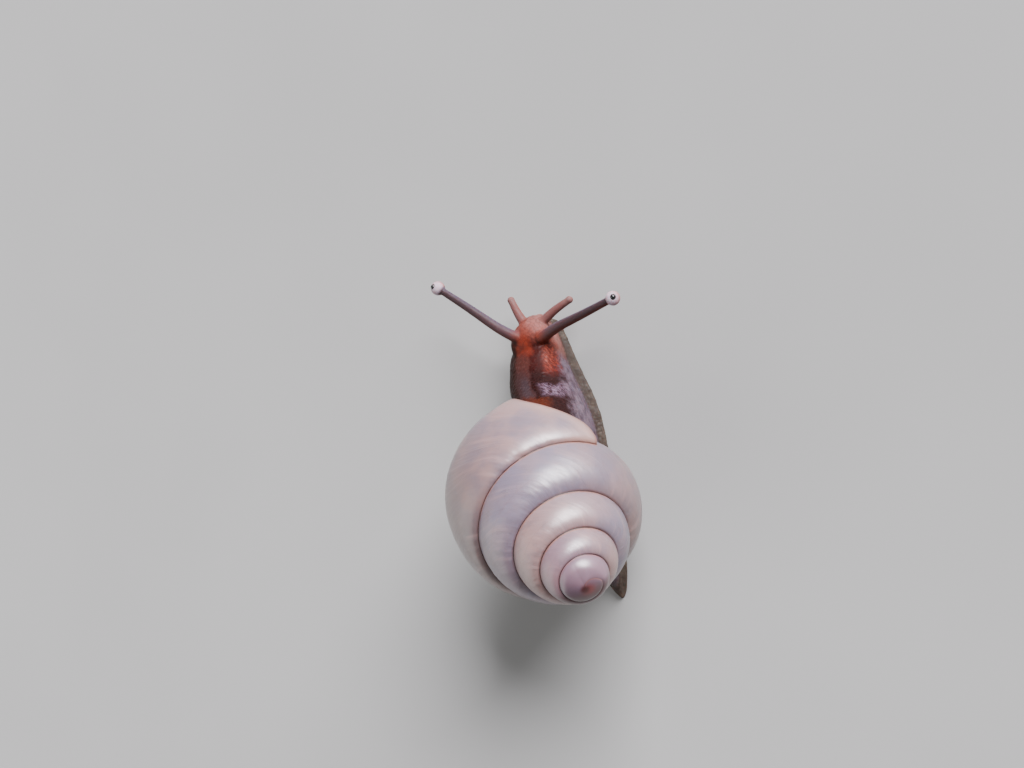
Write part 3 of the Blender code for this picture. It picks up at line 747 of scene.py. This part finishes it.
def make_feeler(path, root, tip, bulb):
    """Loft a whole feeler with the bulb at its end."""
    stations = []
    for i in range(FEELER_STEPS + 1):
        u = i / FEELER_STEPS
        stations.append((Vector(spline_point(path, u)), tube_radius(u, root, tip)))
    middle, way, neck = bulb_place(path, tip, bulb)
    for i in range(1, BULB_STEPS):
        angle = neck + (math.pi - neck) * i / BULB_STEPS
        stations.append((middle - way * bulb * math.cos(angle), bulb * math.sin(angle)))
    sections = []
    for i, (point, radius) in enumerate(stations):
        ahead = stations[min(i + 1, len(stations) - 1)][0] - stations[max(i - 1, 0)][0]
        turn = ahead.to_track_quat("Z", "Y").to_matrix()
        ring = []
        for k in range(FEELER_SIDES):
            angle = TURN * k / FEELER_SIDES
            out = Vector((radius * math.cos(angle), radius * math.sin(angle), 0.0))
            ring.append(point + turn @ out)
        sections.append(ring)
    return loft("feeler_form", sections)


def eye_place(path):
    """Middle of the eye that looks up out of a feeler's bulb."""
    middle, way, _ = bulb_place(path, UPPER_TIP_RADIUS, BULB_RADIUS)
    look = (way * EYE_FORWARD + Vector((0.0, 0.0, 1.0))).normalized()
    return middle + look * (BULB_RADIUS - EYE_SINK * EYE_RADIUS)


def make_trim(placement):
    """Make the closed outline of the shell, a little wider, with its mouth left as a hollow."""
    vertices, faces, loop, _ = shell_surface(*COARSE_MESH)
    open_shell = new_object("trim_normals", vertices, faces)
    normals = vertex_data(open_shell, "normal")
    bpy.data.objects.remove(open_shell, do_unlink=True)
    centre = np.array([0.0, 0.0, 0.5 * (vertices[:, 2].min() + vertices[:, 2].max())])
    if ((vertices - centre) * normals).sum() < 0.0:
        normals = -normals
    inner = recess_loop(shrink_loop(vertices[loop], LIP_THICKNESS + SHELL_CLEARANCE), -LIP_BEND, 1.0)
    rings = [inner] + [mouth_ring(inner, TRIM_DEPTH * MOUTH_DEPTH, share) for share in TRIM_RINGS]
    vertices = add_rings(vertices + normals * SHELL_CLEARANCE, faces, loop, rings)
    trim = new_object("trim", vertices, faces)
    trim.data.transform(placement)
    return trim


def make_mantle(placement):
    """Make the mantle cushion that fills the mouth behind the lip, round the body."""
    vertices, _, loop, _ = shell_surface(*COARSE_MESH)
    rim = shrink_loop(vertices[loop], LIP_THICKNESS + 1.5 * SHELL_CLEARANCE)
    mantle = loft("mantle", [mouth_ring(rim, MOUTH_DEPTH, *ring) for ring in MANTLE_RINGS])
    mantle.data.transform(placement)
    return mantle


def make_skin():
    """Grow body, head and feelers into one skin."""
    skin = make_body()
    forms = [make_ellipsoid(name, middle, size) for name, (middle, size) in HEAD_FORMS.items()]
    for paths, *radii in FEELER_KINDS:
        forms += [make_feeler(path, *radii) for path in paths.values()]
    combine(skin, forms, "UNION")
    combine(skin, [make_ellipsoid("mouth_line", *MOUTH_LINE)], "DIFFERENCE")
    grow = skin.modifiers.new("grow", "REMESH")
    grow.mode = "VOXEL"
    grow.voxel_size = SKIN_GRAIN * MM
    soften = skin.modifiers.new("soften", "SMOOTH")
    soften.factor = 0.5
    soften.iterations = 6
    apply_modifiers(skin)
    blend_roots(skin)
    return skin


def blend_roots(skin):
    """Smooth the head and the roots of the feelers into one flowing form."""
    places = vertex_data(skin, "co") / MM
    weight = ease((places[:, 1] + 22.0) / 1.2) * ease((-16.0 - places[:, 1]) / 1.5)
    weight *= ease((places[:, 2] - 1.2) / 0.8)
    for paths, root, *_ in FEELER_KINDS:
        for path in paths.values():
            distance, share, _ = nearest_on_path(places, path)
            shaft = ease((2.2 * root - distance) / root) * ease((share - 0.16) / 0.12)
            weight *= 1.0 - shaft
    soften_part(skin, "roots", weight, ROOT_SMOOTHING)


def nearest_on_path(places, path, samples=80):
    """Each place's distance to a path, share along it and way from it."""
    line = np.array([spline_point(path, i / (samples - 1)) for i in range(samples)])
    best = np.full(len(places), 1e9)
    share = np.zeros(len(places))
    offset = np.zeros((len(places), 3))
    for i, point in enumerate(line):
        away = places - point
        distance = np.linalg.norm(away, axis=1)
        closer = distance < best
        best[closer] = distance[closer]
        share[closer] = i / (samples - 1)
        offset[closer] = away[closer]
    return best, share, offset


def feeler_fields(places):
    """Where the feelers are, how far along them, which way each side faces, and the bulbs."""
    names = ("feeler", "lower_feeler", "reach", "under", "front", "bulb")
    fields = {name: np.zeros(len(places)) for name in names}
    for paths, root, tip, _ in FEELER_KINDS:
        for path in paths.values():
            distance, share, offset = nearest_on_path(places, path)
            near = ease((2.0 * root - distance) / root) * ease((share + 0.02) / 0.24)
            near = np.where((share >= 0.98) & (distance < BULB_REACH), 1.0, near)
            fields["feeler"] = np.maximum(fields["feeler"], near)
            if paths is LOWER_FEELERS:
                short = ease((1.9 * root - distance) / 0.4)
                fields["lower_feeler"] = np.maximum(fields["lower_feeler"], short)
            away = offset / np.maximum(distance, 0.01)[:, None]
            past_tip = ease((distance - tip) / (0.9 * tip)) * (share > 0.99)
            own = {"reach": share, "under": -away[:, 2], "front": away @ FRONT, "bulb": past_tip}
            for name, values in own.items():
                fields[name] = np.where(near > 0.02, values, fields[name])
    return fields


def tubercle_heights(places, rough):
    """Heights from 0 to 1 of a net of tubercles, where the skin is rough."""
    noise.seed_set(TUBERCLE_SEED)
    heights = np.zeros(len(places))
    for i in np.nonzero(rough > 0.01)[0]:
        x, y, z = places[i]
        spot = Vector((x + 0.35 * y, y * 0.8 - 0.3 * x, z)) / TUBERCLE_SIZE
        spot += 0.35 * noise.noise_vector(spot * 0.6)
        distances, _ = noise.voronoi(spot)
        heights[i] = min((distances[1] - distances[0]) * 1.6, 1.0)
    return heights


def add_skin_fields(skin, mantle_surface):
    """Give the skin its tubercles and fringe, and the fields that its colours read."""
    places = vertex_data(skin, "co") / MM
    middle, _, body, top, lean, _ = station_sizes(places[:, 1])
    rise = np.clip(places[:, 2] / np.maximum(top, 0.3), 0.0, 1.0)
    across = (places[:, 0] - middle - lean * rise) / np.maximum(body, 0.3)
    across *= 1.0 + 0.5 * ease((0.62 - rise) / 0.4)
    fields = feeler_fields(places)

    rough = ease((places[:, 2] - 0.25) / 0.6) * (1.0 - 0.85 * fields["feeler"])
    rough *= 1.0 - 0.5 * ease((-15.0 - places[:, 1]) / 3.0)
    heights = tubercle_heights(places, rough)
    relief = rough * (heights - 0.5) * TUBERCLE_HEIGHT
    # The foot's fringe is set off by a furrow and crossed by short folds.
    level = places[:, 2]
    folds = fractal(rows_of(places[:, 1], 0.25 * level, np.sign(across) * 7.0), FOLD_SIZE, 2)
    fringe = ease((level - 0.05) / 0.15) * ease((0.85 - level) / 0.3)
    furrow = np.exp(-((level - FURROW_LEVEL) / FURROW_WIDTH) ** 2) * (1.0 - fields["feeler"])
    furrow *= ease((places[:, 1] + 20.2) / 0.8)
    relief += FOLD_HEIGHT * folds * fringe - FURROW_DEPTH * furrow
    places += vertex_data(skin, "normal") * relief[:, None]
    set_vertices(skin, places)

    edge = np.array([mantle_surface.find_nearest(Vector(p) * MM)[3] for p in places]) / MM
    x, y, z = places.T
    fields.update({
        "mantle": ease((MANTLE_REACH - edge) / (0.6 * MANTLE_REACH)),
        "across": across,
        "along": y,
        "height": z,
        "tubercle": np.where(rough > 0.3, heights, 1.0),
        "furrow": furrow,
    })
    for name, values in fields.items():
        set_field(skin, name, values)
    set_field(skin, "grain", rows_of(x + 0.8 * y, y - 0.8 * x, z))


def fit_skin(skin, placement):
    """Join the mantle to the skin, cut out the shell and the eyes' seats, and add the relief."""
    mantle = make_mantle(placement)
    mantle_surface = BVHTree.FromPolygons([v.co.copy() for v in mantle.data.vertices],
                                          [tuple(f.vertices) for f in mantle.data.polygons])
    combine(skin, [mantle], "UNION")
    combine(skin, [make_trim(placement)], "DIFFERENCE")
    seat_size = (EYE_RADIUS + EYE_SEAT_GAP,) * 3
    for path in UPPER_FEELERS.values():
        combine(skin, [make_ellipsoid("seat", eye_place(path), seat_size)], "DIFFERENCE")
    keep_largest(skin)
    skin.data.shade_smooth()
    add_skin_fields(skin, mantle_surface)


def make_eyes():
    """Make the two eyes."""
    size = (EYE_RADIUS,) * 3
    return {
        side: make_ellipsoid("eye_%s_ball" % side, eye_place(path), size, 32, 20)
        for side, path in UPPER_FEELERS.items()
    }


# Materials


def linear(colour):
    """Turn a colour as seen on a screen into linear light."""
    out = [c / 12.92 if c <= 0.04045 else ((c + 0.055) / 1.055) ** 2.4 for c in colour]
    return (*out, 1.0)


class Painter:
    """Builds one material's nodes."""

    def __init__(self, name):
        """Start a material with its Principled shader."""
        self.material = bpy.data.materials.new(name)
        self.material.use_nodes = True
        self.tree = self.material.node_tree
        self.shader = self.tree.nodes["Principled BSDF"]
        self.known = {}

    def node(self, kind, **settings):
        """Add a node and set its properties."""
        node = self.tree.nodes.new(kind)
        for key, value in settings.items():
            setattr(node, key, value)
        return node

    def fill(self, socket, value):
        """Set a socket to a number, a vector or a colour, or join an output to it."""
        if isinstance(value, tuple):
            socket.default_value = linear(value)
        elif isinstance(value, (float, Vector)):
            socket.default_value = value
        else:
            self.tree.links.new(value, socket)

    def fill_all(self, node, **values):
        """Fill a node's sockets by name, with spaces for underscores."""
        for key, value in values.items():
            self.fill(node.inputs[key.replace("_", " ")], value)

    def field(self, name, output="Fac"):
        """Read a number kept on the vertices, or a vector by the output of that name."""
        return self.node("ShaderNodeAttribute", attribute_name=name).outputs[output]

    def read(self, *names):
        """Read numbers kept on the vertices and know them by their names."""
        for name in names:
            self.known[name] = self.field(name)

    def place(self):
        """Read the object's own coordinates, in metres."""
        return self.node("ShaderNodeTexCoord").outputs["Object"]

    def noise(self, vector, size, detail=3.0, stretch=(1.0, 1.0, 1.0), roughness=0.5):
        """Smooth noise with grains of a size in the vector's own units."""
        scale = self.node("ShaderNodeMapping")
        self.fill_all(scale, Vector=vector, Scale=Vector([1.0 / (size * s) for s in stretch]))
        texture = self.node("ShaderNodeTexNoise")
        self.fill_all(texture, Vector=scale.outputs["Vector"], Scale=1.0, Detail=detail,
                      Roughness=roughness)
        return texture.outputs["Fac"]

    def step(self, value, low, high, out_low=0.0, out_high=1.0):
        """Ease a number from one range into another."""
        node = self.node("ShaderNodeMapRange", interpolation_type="SMOOTHSTEP")
        self.fill_all(node, Value=value, From_Min=low, From_Max=high, To_Min=out_low, To_Max=out_high)
        return node.outputs["Result"]

    def math(self, operation, *values):
        """Work out one number from one or two."""
        node = self.node("ShaderNodeMath", operation=operation)
        for socket, value in zip(node.inputs, values):
            self.fill(socket, value)
        return node.outputs["Value"]

    def mix(self, amount, a, b):
        """Mix two colours by an amount."""
        node = self.node("ShaderNodeMix", data_type="RGBA")
        for name, kind, value in (("Factor", "VALUE", amount), ("A", "RGBA", a), ("B", "RGBA", b)):
            socket = [s for s in node.inputs if s.name == name and s.type == kind][0]
            self.fill(socket, value)
        return [s for s in node.outputs if s.type == "RGBA"][0]

    def stir(self, value, noise, amount):
        """Shift a number by noise, up to half an amount either way."""
        return self.math("ADD", value, self.math("MULTIPLY", self.math("SUBTRACT", noise, 0.5), amount))

    def mask(self, amount, *ranges):
        """Product of an amount and of known numbers, each eased in over its range."""
        product = amount
        for name, *limits in ranges:
            product = self.math("MULTIPLY", self.step(self.known[name], *limits), product)
        return product

    def layers(self, colour, table):
        """Lay the tints of a table over a colour, each with its amount and its ranges."""
        for tint, amount, *ranges in table:
            colour = self.mix(self.mask(amount, *ranges), colour, self.known.get(tint, tint))
        return colour

    def bump(self, height, distance, strength):
        """Raise the surface by a height field over a distance in millimetres."""
        node = self.node("ShaderNodeBump")
        self.fill_all(node, Height=height, Distance=distance * MM, Strength=strength)
        self.set(Normal=node.outputs["Normal"])

    def set(self, **values):
        """Fill sockets of the shader."""
        self.fill_all(self.shader, **values)


# A layer of paint is its tint, its amount and the ranges in which it fades in. A tint is a
# colour as seen on a screen, or the name of a colour that the material already knows. A range is
# the name of a known number, where the layer starts and where it is full.
SHELL_GROWN = ("turns", 0.15, 1.3)
SHELL_LAYERS = [
    # Blue-grey whorl before the last, rosy one before that, mauve tip, brown start of the last
    # whorl, partly its own tint and partly a painted dark reflection, and grey blots.
    ((0.39, 0.365, 0.435), 0.55, ("turns", 1.8, 2.25), ("turns", 3.3, 2.9)),
    ((0.54, 0.425, 0.405), 0.65, ("turns", 1.0, 1.3), ("turns", 2.2, 1.85)),
    ((0.47, 0.355, 0.39), 0.8, ("turns", 1.25, 0.7)),
    ((0.36, 0.285, 0.25), 0.65, ("turns", 2.95, 3.4), ("turns", 3.98, 3.7)),
    ((0.36, 0.31, 0.335), 0.35, ("blots", 0.55, 0.72)),
    # Light wrinkles, dark threads and scratches.
    ((0.62, 0.50, 0.49), 0.4, SHELL_GROWN, ("wrinkles", 0.52, 0.78)),
    ((0.34, 0.30, 0.325), 0.35, SHELL_GROWN, ("threads", 0.52, 0.8)),
    ((0.24, 0.205, 0.225), 0.25, ("scratch", 0.60, 0.72), ("blots", 0.42, 0.6)),
    # Glow behind the lip, bright edge above each suture and soft shade below it.
    ((0.60, 0.44, 0.36), 0.45, ("lip_gap", 9.0, 1.5), ("suture_gap", 2.6, 0.0)),
    ((0.66, 0.40, 0.29), 0.65, ("suture_gap", -0.26, -0.06), ("suture_gap", 0.05, 0.0)),
    ((0.34, 0.22, 0.215), 0.40, ("suture_gap", 0.0, 0.05), ("suture_gap", 0.40, 0.05)),
    # Dark line in the suture, fainter near the lip.
    ("suture_stain", 0.92, ("suture_line", 0.075, 0.030), ("turns", -0.55, -0.2),
     ("lip_gap", 1.0, 10.0, 0.25, 1.0)),
    # Pale lip with a brown rim.
    ((0.58, 0.455, 0.41), 0.5, ("lip_gap", 2.2, 0.2)),
    ((0.40, 0.23, 0.145), 0.5, ("lip_gap", 0.30, 0.05)),
    # Mauve first whorl, a dark red lower side of the first whorls that is partly their own colour and
    # partly painted shade, and the red nucleus.
    ((0.40, 0.315, 0.375), 0.55, ("turns", 0.75, 0.35), ("turns", -0.9, -0.3)),
    ((0.25, 0.17, 0.23), 0.6, ("turns", -0.05, -0.35)),
    ((0.24, 0.066, 0.045), 0.9, ("apex_red_and_shade", 0.0, 1.0)),
    ((0.40, 0.100, 0.070), 0.75, ("nucleus_glow", 0.0, 1.0)),
    ((0.20, 0.014, 0.011), 0.94, ("nucleus_spot", 0.0, 1.0)),
]


def shell_paint():
    """Pearly shell: lavender and pink whorls, dark fine sutures with a bright edge, red nucleus."""
    p = Painter("shell_pearl")
    p.read("turns", "suture_gap", "lip_gap", "apex_red_and_shade", "nucleus_glow", "nucleus_spot")
    growth = p.field("growth", "Vector")
    place = p.place()
    threads = p.noise(growth, 0.30, 4.0, (1.0, 9.0, 1.0), 0.6)
    wrinkles = p.noise(growth, 0.9, 3.0, (1.0, 5.0, 1.0))
    p.known.update({
        "clouds": p.noise(place, 3.0 * MM, 3.0),
        "blots": p.noise(place, 1.3 * MM, 3.0),
        "threads": threads,
        "wrinkles": wrinkles,
        "scratch": p.noise(p.field("slant", "Vector"), 0.20, 2.0, (1.0, 7.0, 1.0), 0.6),
        "suture_line": p.math("ABSOLUTE", p.known["suture_gap"]),
        "suture_stain": p.mix(p.mask(1.0, ("turns", 0.9, 0.3)), (0.11, 0.035, 0.026), (0.19, 0.030, 0.026)),
    })
    base = p.mix(p.mask(1.0, ("clouds", 0.36, 0.64)), (0.50, 0.400, 0.400), (0.41, 0.352, 0.390))
    streaks = p.mask(0.4, ("scratch", 0.60, 0.72), ("blots", 0.42, 0.6))
    relief = p.math("ADD", threads, p.math("MULTIPLY", wrinkles, 1.2))
    relief = p.math("SUBTRACT", relief, streaks)
    p.bump(p.math("MULTIPLY", relief, p.mask(1.0, SHELL_GROWN)), 0.04, 0.8)
    p.set(Base_Color=p.layers(base, SHELL_LAYERS), Roughness=p.step(threads, 0.2, 0.8, 0.30, 0.44),
          Subsurface_Weight=0.25, Subsurface_Radius=Vector((1.0, 0.5, 0.4)), Subsurface_Scale=0.6 * MM,
          Coat_Weight=0.75, Coat_Roughness=0.40, Coat_IOR=1.6, IOR=1.5)
    return p.material


# The skin's known numbers: side runs across the back, less than 0 on the right, and row runs
# down the photo, from the head at -20 to the shell at -9.
NECK_RANGES = [("row", -7.0, -9.5), ("row", -20.6, -20.0)]
STRIPE_START = (0.32, 0.110, 0.070)
STRIPE_LAYERS = [
    # Middle stripe, with a lavender streak that starts half way down the neck.
    ((0.235, 0.115, 0.100), 1.0, ("row", -18.2, -16.6)),
    ((0.180, 0.110, 0.112), 1.0, ("row", -16.4, -14.2)),
    ((0.185, 0.150, 0.168), 0.7, ("side", -0.10, 0.02), ("side", 0.28, 0.14), ("row", -15.6, -13.8)),
]
BAND_LAYERS = [
    # Maroon band, an orange-red zone ahead and a painted lavender sheen near the shell: a painted
    # highlight, in flecks on the ridges.
    ("red", 1.0, ("side", -0.50, -0.64), ("row", -14.9, -15.9)),
    ((0.38, 0.305, 0.365), 1.0, ("row", -14.5, -13.9), ("row", -12.7, -13.3), ("side", -0.24, -0.50),
     ("ridge", 0.38, 0.62, 0.08, 0.90)),
]
NECK_LAYERS = [
    # The band on the right, a dark line on the left, partly the skin's own band and partly a painted dark
    # reflection, and the flanks.
    ("band", 1.0, ("side", -0.08, -0.20)),
    ((0.120, 0.040, 0.022), 1.0, ("side", 0.34, 0.52)),
    ("margin", 1.0, ("side", -0.84, -1.06)),
    ("flank", 1.0, ("side", 1.20, 1.50)),
]
BODY_LAYERS = [
    # Salmon head with an orange flush between the roots of the upper feelers.
    ("head", 0.95, ("row", -18.5, -20.0)),
    ("head", 1.0, ("along", -18.9, -19.8)),
    ((0.42, 0.275, 0.255), 1.0, ("slanted", -16.6, -20.0), ("height", 3.8, 2.4)),
    ((0.38, 0.135, 0.085), 0.85, ("row", -17.0, -18.2), ("row", -19.9, -18.9),
     ("side", -0.36, -0.18), ("side", 0.46, 0.24)),
    # Brown where the back meets the shell's lip, partly the skin's own brown and partly painted shade under
    # the lip, orange-brown mantle and pale sole.
    ((0.27, 0.105, 0.048), 0.8, ("row", -13.0, -12.5), ("row", -9.6, -11.0),
     ("side", -0.62, -0.34), ("side", 0.40, 0.20)),
    ((0.30, 0.115, 0.050), 0.85, ("mantle", 0.0, 1.0)),
    ("sole", 1.0, ("height", 1.6, 0.7)),
    # Pale flecks, and dark between the tubercles and in the furrow.
    ((0.55, 0.44, 0.42), 0.05, ("fleck", 0.55, 0.75)),
    ((0.15, 0.075, 0.07), 0.35, ("tubercle", 0.30, 0.05)),
    ((0.15, 0.105, 0.095), 0.4, ("furrow", 0.2, 1.0)),
]
STALK_START = (0.29, 0.205, 0.215)
STALK_LAYERS = [
    # Upper feeler: dark core along the top, a painted lavender highlight on the side ahead, flesh-pink
    # back, underside and root.
    ((0.205, 0.150, 0.160), 1.0, ("reach", 0.0, 0.75)),
    ((0.27, 0.23, 0.285), 0.9, ("front", 0.20, 1.00)),
    ((0.36, 0.20, 0.165), 0.85, ("front", -0.30, -1.00)),
    ((0.34, 0.195, 0.17), 1.0, ("under", 0.0, 0.70)),
    ((0.29, 0.125, 0.105), 0.85, ("reach", 0.26, 0.0)),
]
SHORT_START = (0.38, 0.245, 0.235)
SHORT_LAYERS = [
    # Lower feeler: orange underneath and pale at the tip.
    ((0.48, 0.24, 0.17), 1.0, ("under", -0.5, 0.5)),
    ((0.42, 0.31, 0.30), 0.6, ("reach", 0.75, 1.0)),
]
# Two-tone colours: the number that changes them, its range and the two colours.
SKIN_PAIRS = {
    "flank": (("mottle", 0.35, 0.7), (0.36, 0.305, 0.345), (0.26, 0.215, 0.25)),
    "front_red": (("ridge", 0.35, 0.65), (0.25, 0.063, 0.036), (0.42, 0.175, 0.125)),
    "deep_red": (("ridge", 0.35, 0.65), (0.17, 0.030, 0.020), (0.30, 0.085, 0.060)),
    "red": (("row", -17.2, -15.2), "front_red", "deep_red"),
    "maroon": (("row", -16.6, -15.0), (0.165, 0.032, 0.022), (0.095, 0.018, 0.017)),
    "margin": (("row", -18.4, -17.0), (0.40, 0.25, 0.215), "flank"),
    "head": (("row", -21.2, -19.6), (0.45, 0.275, 0.255), (0.39, 0.185, 0.150)),
    "sole": (("mottle", 0.35, 0.65), (0.205, 0.175, 0.155), (0.26, 0.225, 0.195)),
    # Bulb: pale on top, partly its own tint and partly a painted highlight, and pink underneath.
    "bulb_tint_and_highlight": (("under", -0.70, 0.30), (0.64, 0.57, 0.61), (0.54, 0.29, 0.24)),
}


def skin_paint():
    """Moist skin: pale back stripe between maroon bands, lavender flanks, salmon head."""
    p = Painter("snail_skin")
    known = p.known
    p.read("across", "along", "height", "mantle", "tubercle", "furrow")
    p.read("feeler", "lower_feeler", "reach", "under", "front", "bulb")
    place = p.place()
    for name, size, detail in (("mottle", 0.9, 3.0), ("drift", 1.7, 3.0), ("fleck", 0.16, 2.0)):
        known[name] = p.noise(place, size * MM, detail)
    ridge = p.noise(p.field("grain", "Vector"), 0.13, 2.0, (1.0, 6.0, 1.0))
    known["ridge"] = ridge
    known["side"] = p.stir(p.stir(known["across"], known["mottle"], 0.22), ridge, 0.16)
    slope = p.math("MULTIPLY", known["across"], ROW_SLANT)
    known["slanted"] = p.math("ADD", known["along"], slope)
    known["row"] = p.stir(p.stir(known["slanted"], known["drift"], 1.0), ridge, 0.9)
    for name, (fade, first, second) in SKIN_PAIRS.items():
        known[name] = p.mix(p.mask(1.0, fade), known.get(first, first), known.get(second, second))

    known["band"] = p.layers(known["maroon"], BAND_LAYERS)
    neck = p.layers(p.layers(STRIPE_START, STRIPE_LAYERS), NECK_LAYERS)
    body = p.layers(p.mix(p.mask(1.0, *NECK_RANGES), known["flank"], neck), BODY_LAYERS)
    # The bulbs' pale tops are partly a painted highlight.
    stalk = p.mix(known["bulb"], p.layers(STALK_START, STALK_LAYERS), known["bulb_tint_and_highlight"])
    stalk = p.mix(known["lower_feeler"], stalk, p.layers(SHORT_START, SHORT_LAYERS))
    p.bump(p.math("ADD", known["fleck"], p.math("MULTIPLY", ridge, 1.5)), 0.03, 0.5)
    p.set(Base_Color=p.mix(known["feeler"], body, stalk),
          Roughness=p.step(known["mottle"], 0.3, 0.7, 0.46, 0.62),
          Subsurface_Weight=0.30, Subsurface_Radius=Vector((1.0, 0.4, 0.3)), Subsurface_Scale=0.4 * MM,
          Coat_Weight=0.04, Coat_Roughness=0.3, IOR=1.28, Specular_IOR_Level=0.2)
    return p.material


def eye_paint():
    """Glossy black eye with a faint brown bloom."""
    p = Painter("eye_black")
    bloom = p.noise(p.place(), 0.12 * MM, 2.0)
    colour = p.mix(p.step(bloom, 0.4, 0.7), (0.02, 0.02, 0.025), (0.08, 0.05, 0.06))
    p.set(Base_Color=colour, Roughness=0.3, Coat_Weight=0.2, Coat_Roughness=0.15)
    return p.material


def floor_paint():
    """Plain pale floor."""
    p = Painter("floor_pale")
    grain = p.noise(p.place(), 30.0 * MM, 2.0)
    colour = p.mix(p.step(grain, 0.3, 0.7), (0.575, 0.575, 0.57), (0.585, 0.585, 0.58))
    p.set(Base_Color=colour, Roughness=0.8)
    return p.material


# Stage


def make_floor():
    """Make the floor and keep it out of the object."""
    corners = [(x * FLOOR_REACH, y * FLOOR_REACH, 0.0) for x, y in ((-1, -1), (1, -1), (1, 1), (-1, 1))]
    floor = new_object("floor", corners, [(0, 1, 2, 3)])
    floor.data.materials.append(floor_paint())


def make_camera():
    """Stand the camera where the photo was taken from."""
    data = bpy.data.cameras.new("camera")
    data.sensor_width = SENSOR_WIDTH
    data.lens = FOCAL_PIXELS * SENSOR_WIDTH / FRAME_WIDTH
    data.clip_start = 0.001
    data.clip_end = 10.0
    camera = add_object("camera", data)
    rotation = Matrix((CAMERA_RIGHT, CAMERA_UP, CAMERA_BACK)).transposed().to_4x4()
    camera.matrix_world = Matrix.Translation(CAMERA_PLACE * MM) @ rotation
    bpy.context.scene.camera = camera


def add_sun(name, way, strength, softness, colour):
    """Shine an even, soft-edged light from a direction."""
    data = bpy.data.lights.new(name, "SUN")
    data.energy = strength
    data.angle = math.radians(softness)
    data.color = colour
    light = add_object(name, data)
    light.matrix_world = way.normalized().to_track_quat("Z", "Y").to_matrix().to_4x4()


def make_lights():
    """Soft studio light: a broad key from the head side, a weak fill and a dim even surround."""
    for sun in SUNS:
        add_sun(*sun)
    world = bpy.data.worlds.new("surround")
    world.use_nodes = True
    background = world.node_tree.nodes["Background"]
    background.inputs["Color"].default_value = SURROUND_COLOUR
    background.inputs["Strength"].default_value = SURROUND_STRENGTH
    bpy.context.scene.world = world


def main():
    """Dress the frame."""
    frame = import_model()
    make_floor()
    make_camera()
    make_lights()

    placement = shell_placement()
    shell = make_shell(placement)
    shell.data.materials.append(shell_paint())
    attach(shell, "root")
    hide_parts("shell")

    skin = make_skin()
    fit_skin(skin, placement)
    skin.data.materials.clear()
    skin.data.materials.append(skin_paint())
    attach(skin, "root")
    flesh = [name for name in frame["nodes"] if name != "shell" and not name.startswith("eye")]
    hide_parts(*flesh)

    eye_material = eye_paint()
    for side, eye in make_eyes().items():
        eye.data.materials.append(eye_material)
        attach(eye, "root")
        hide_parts("eye_" + side)


main()
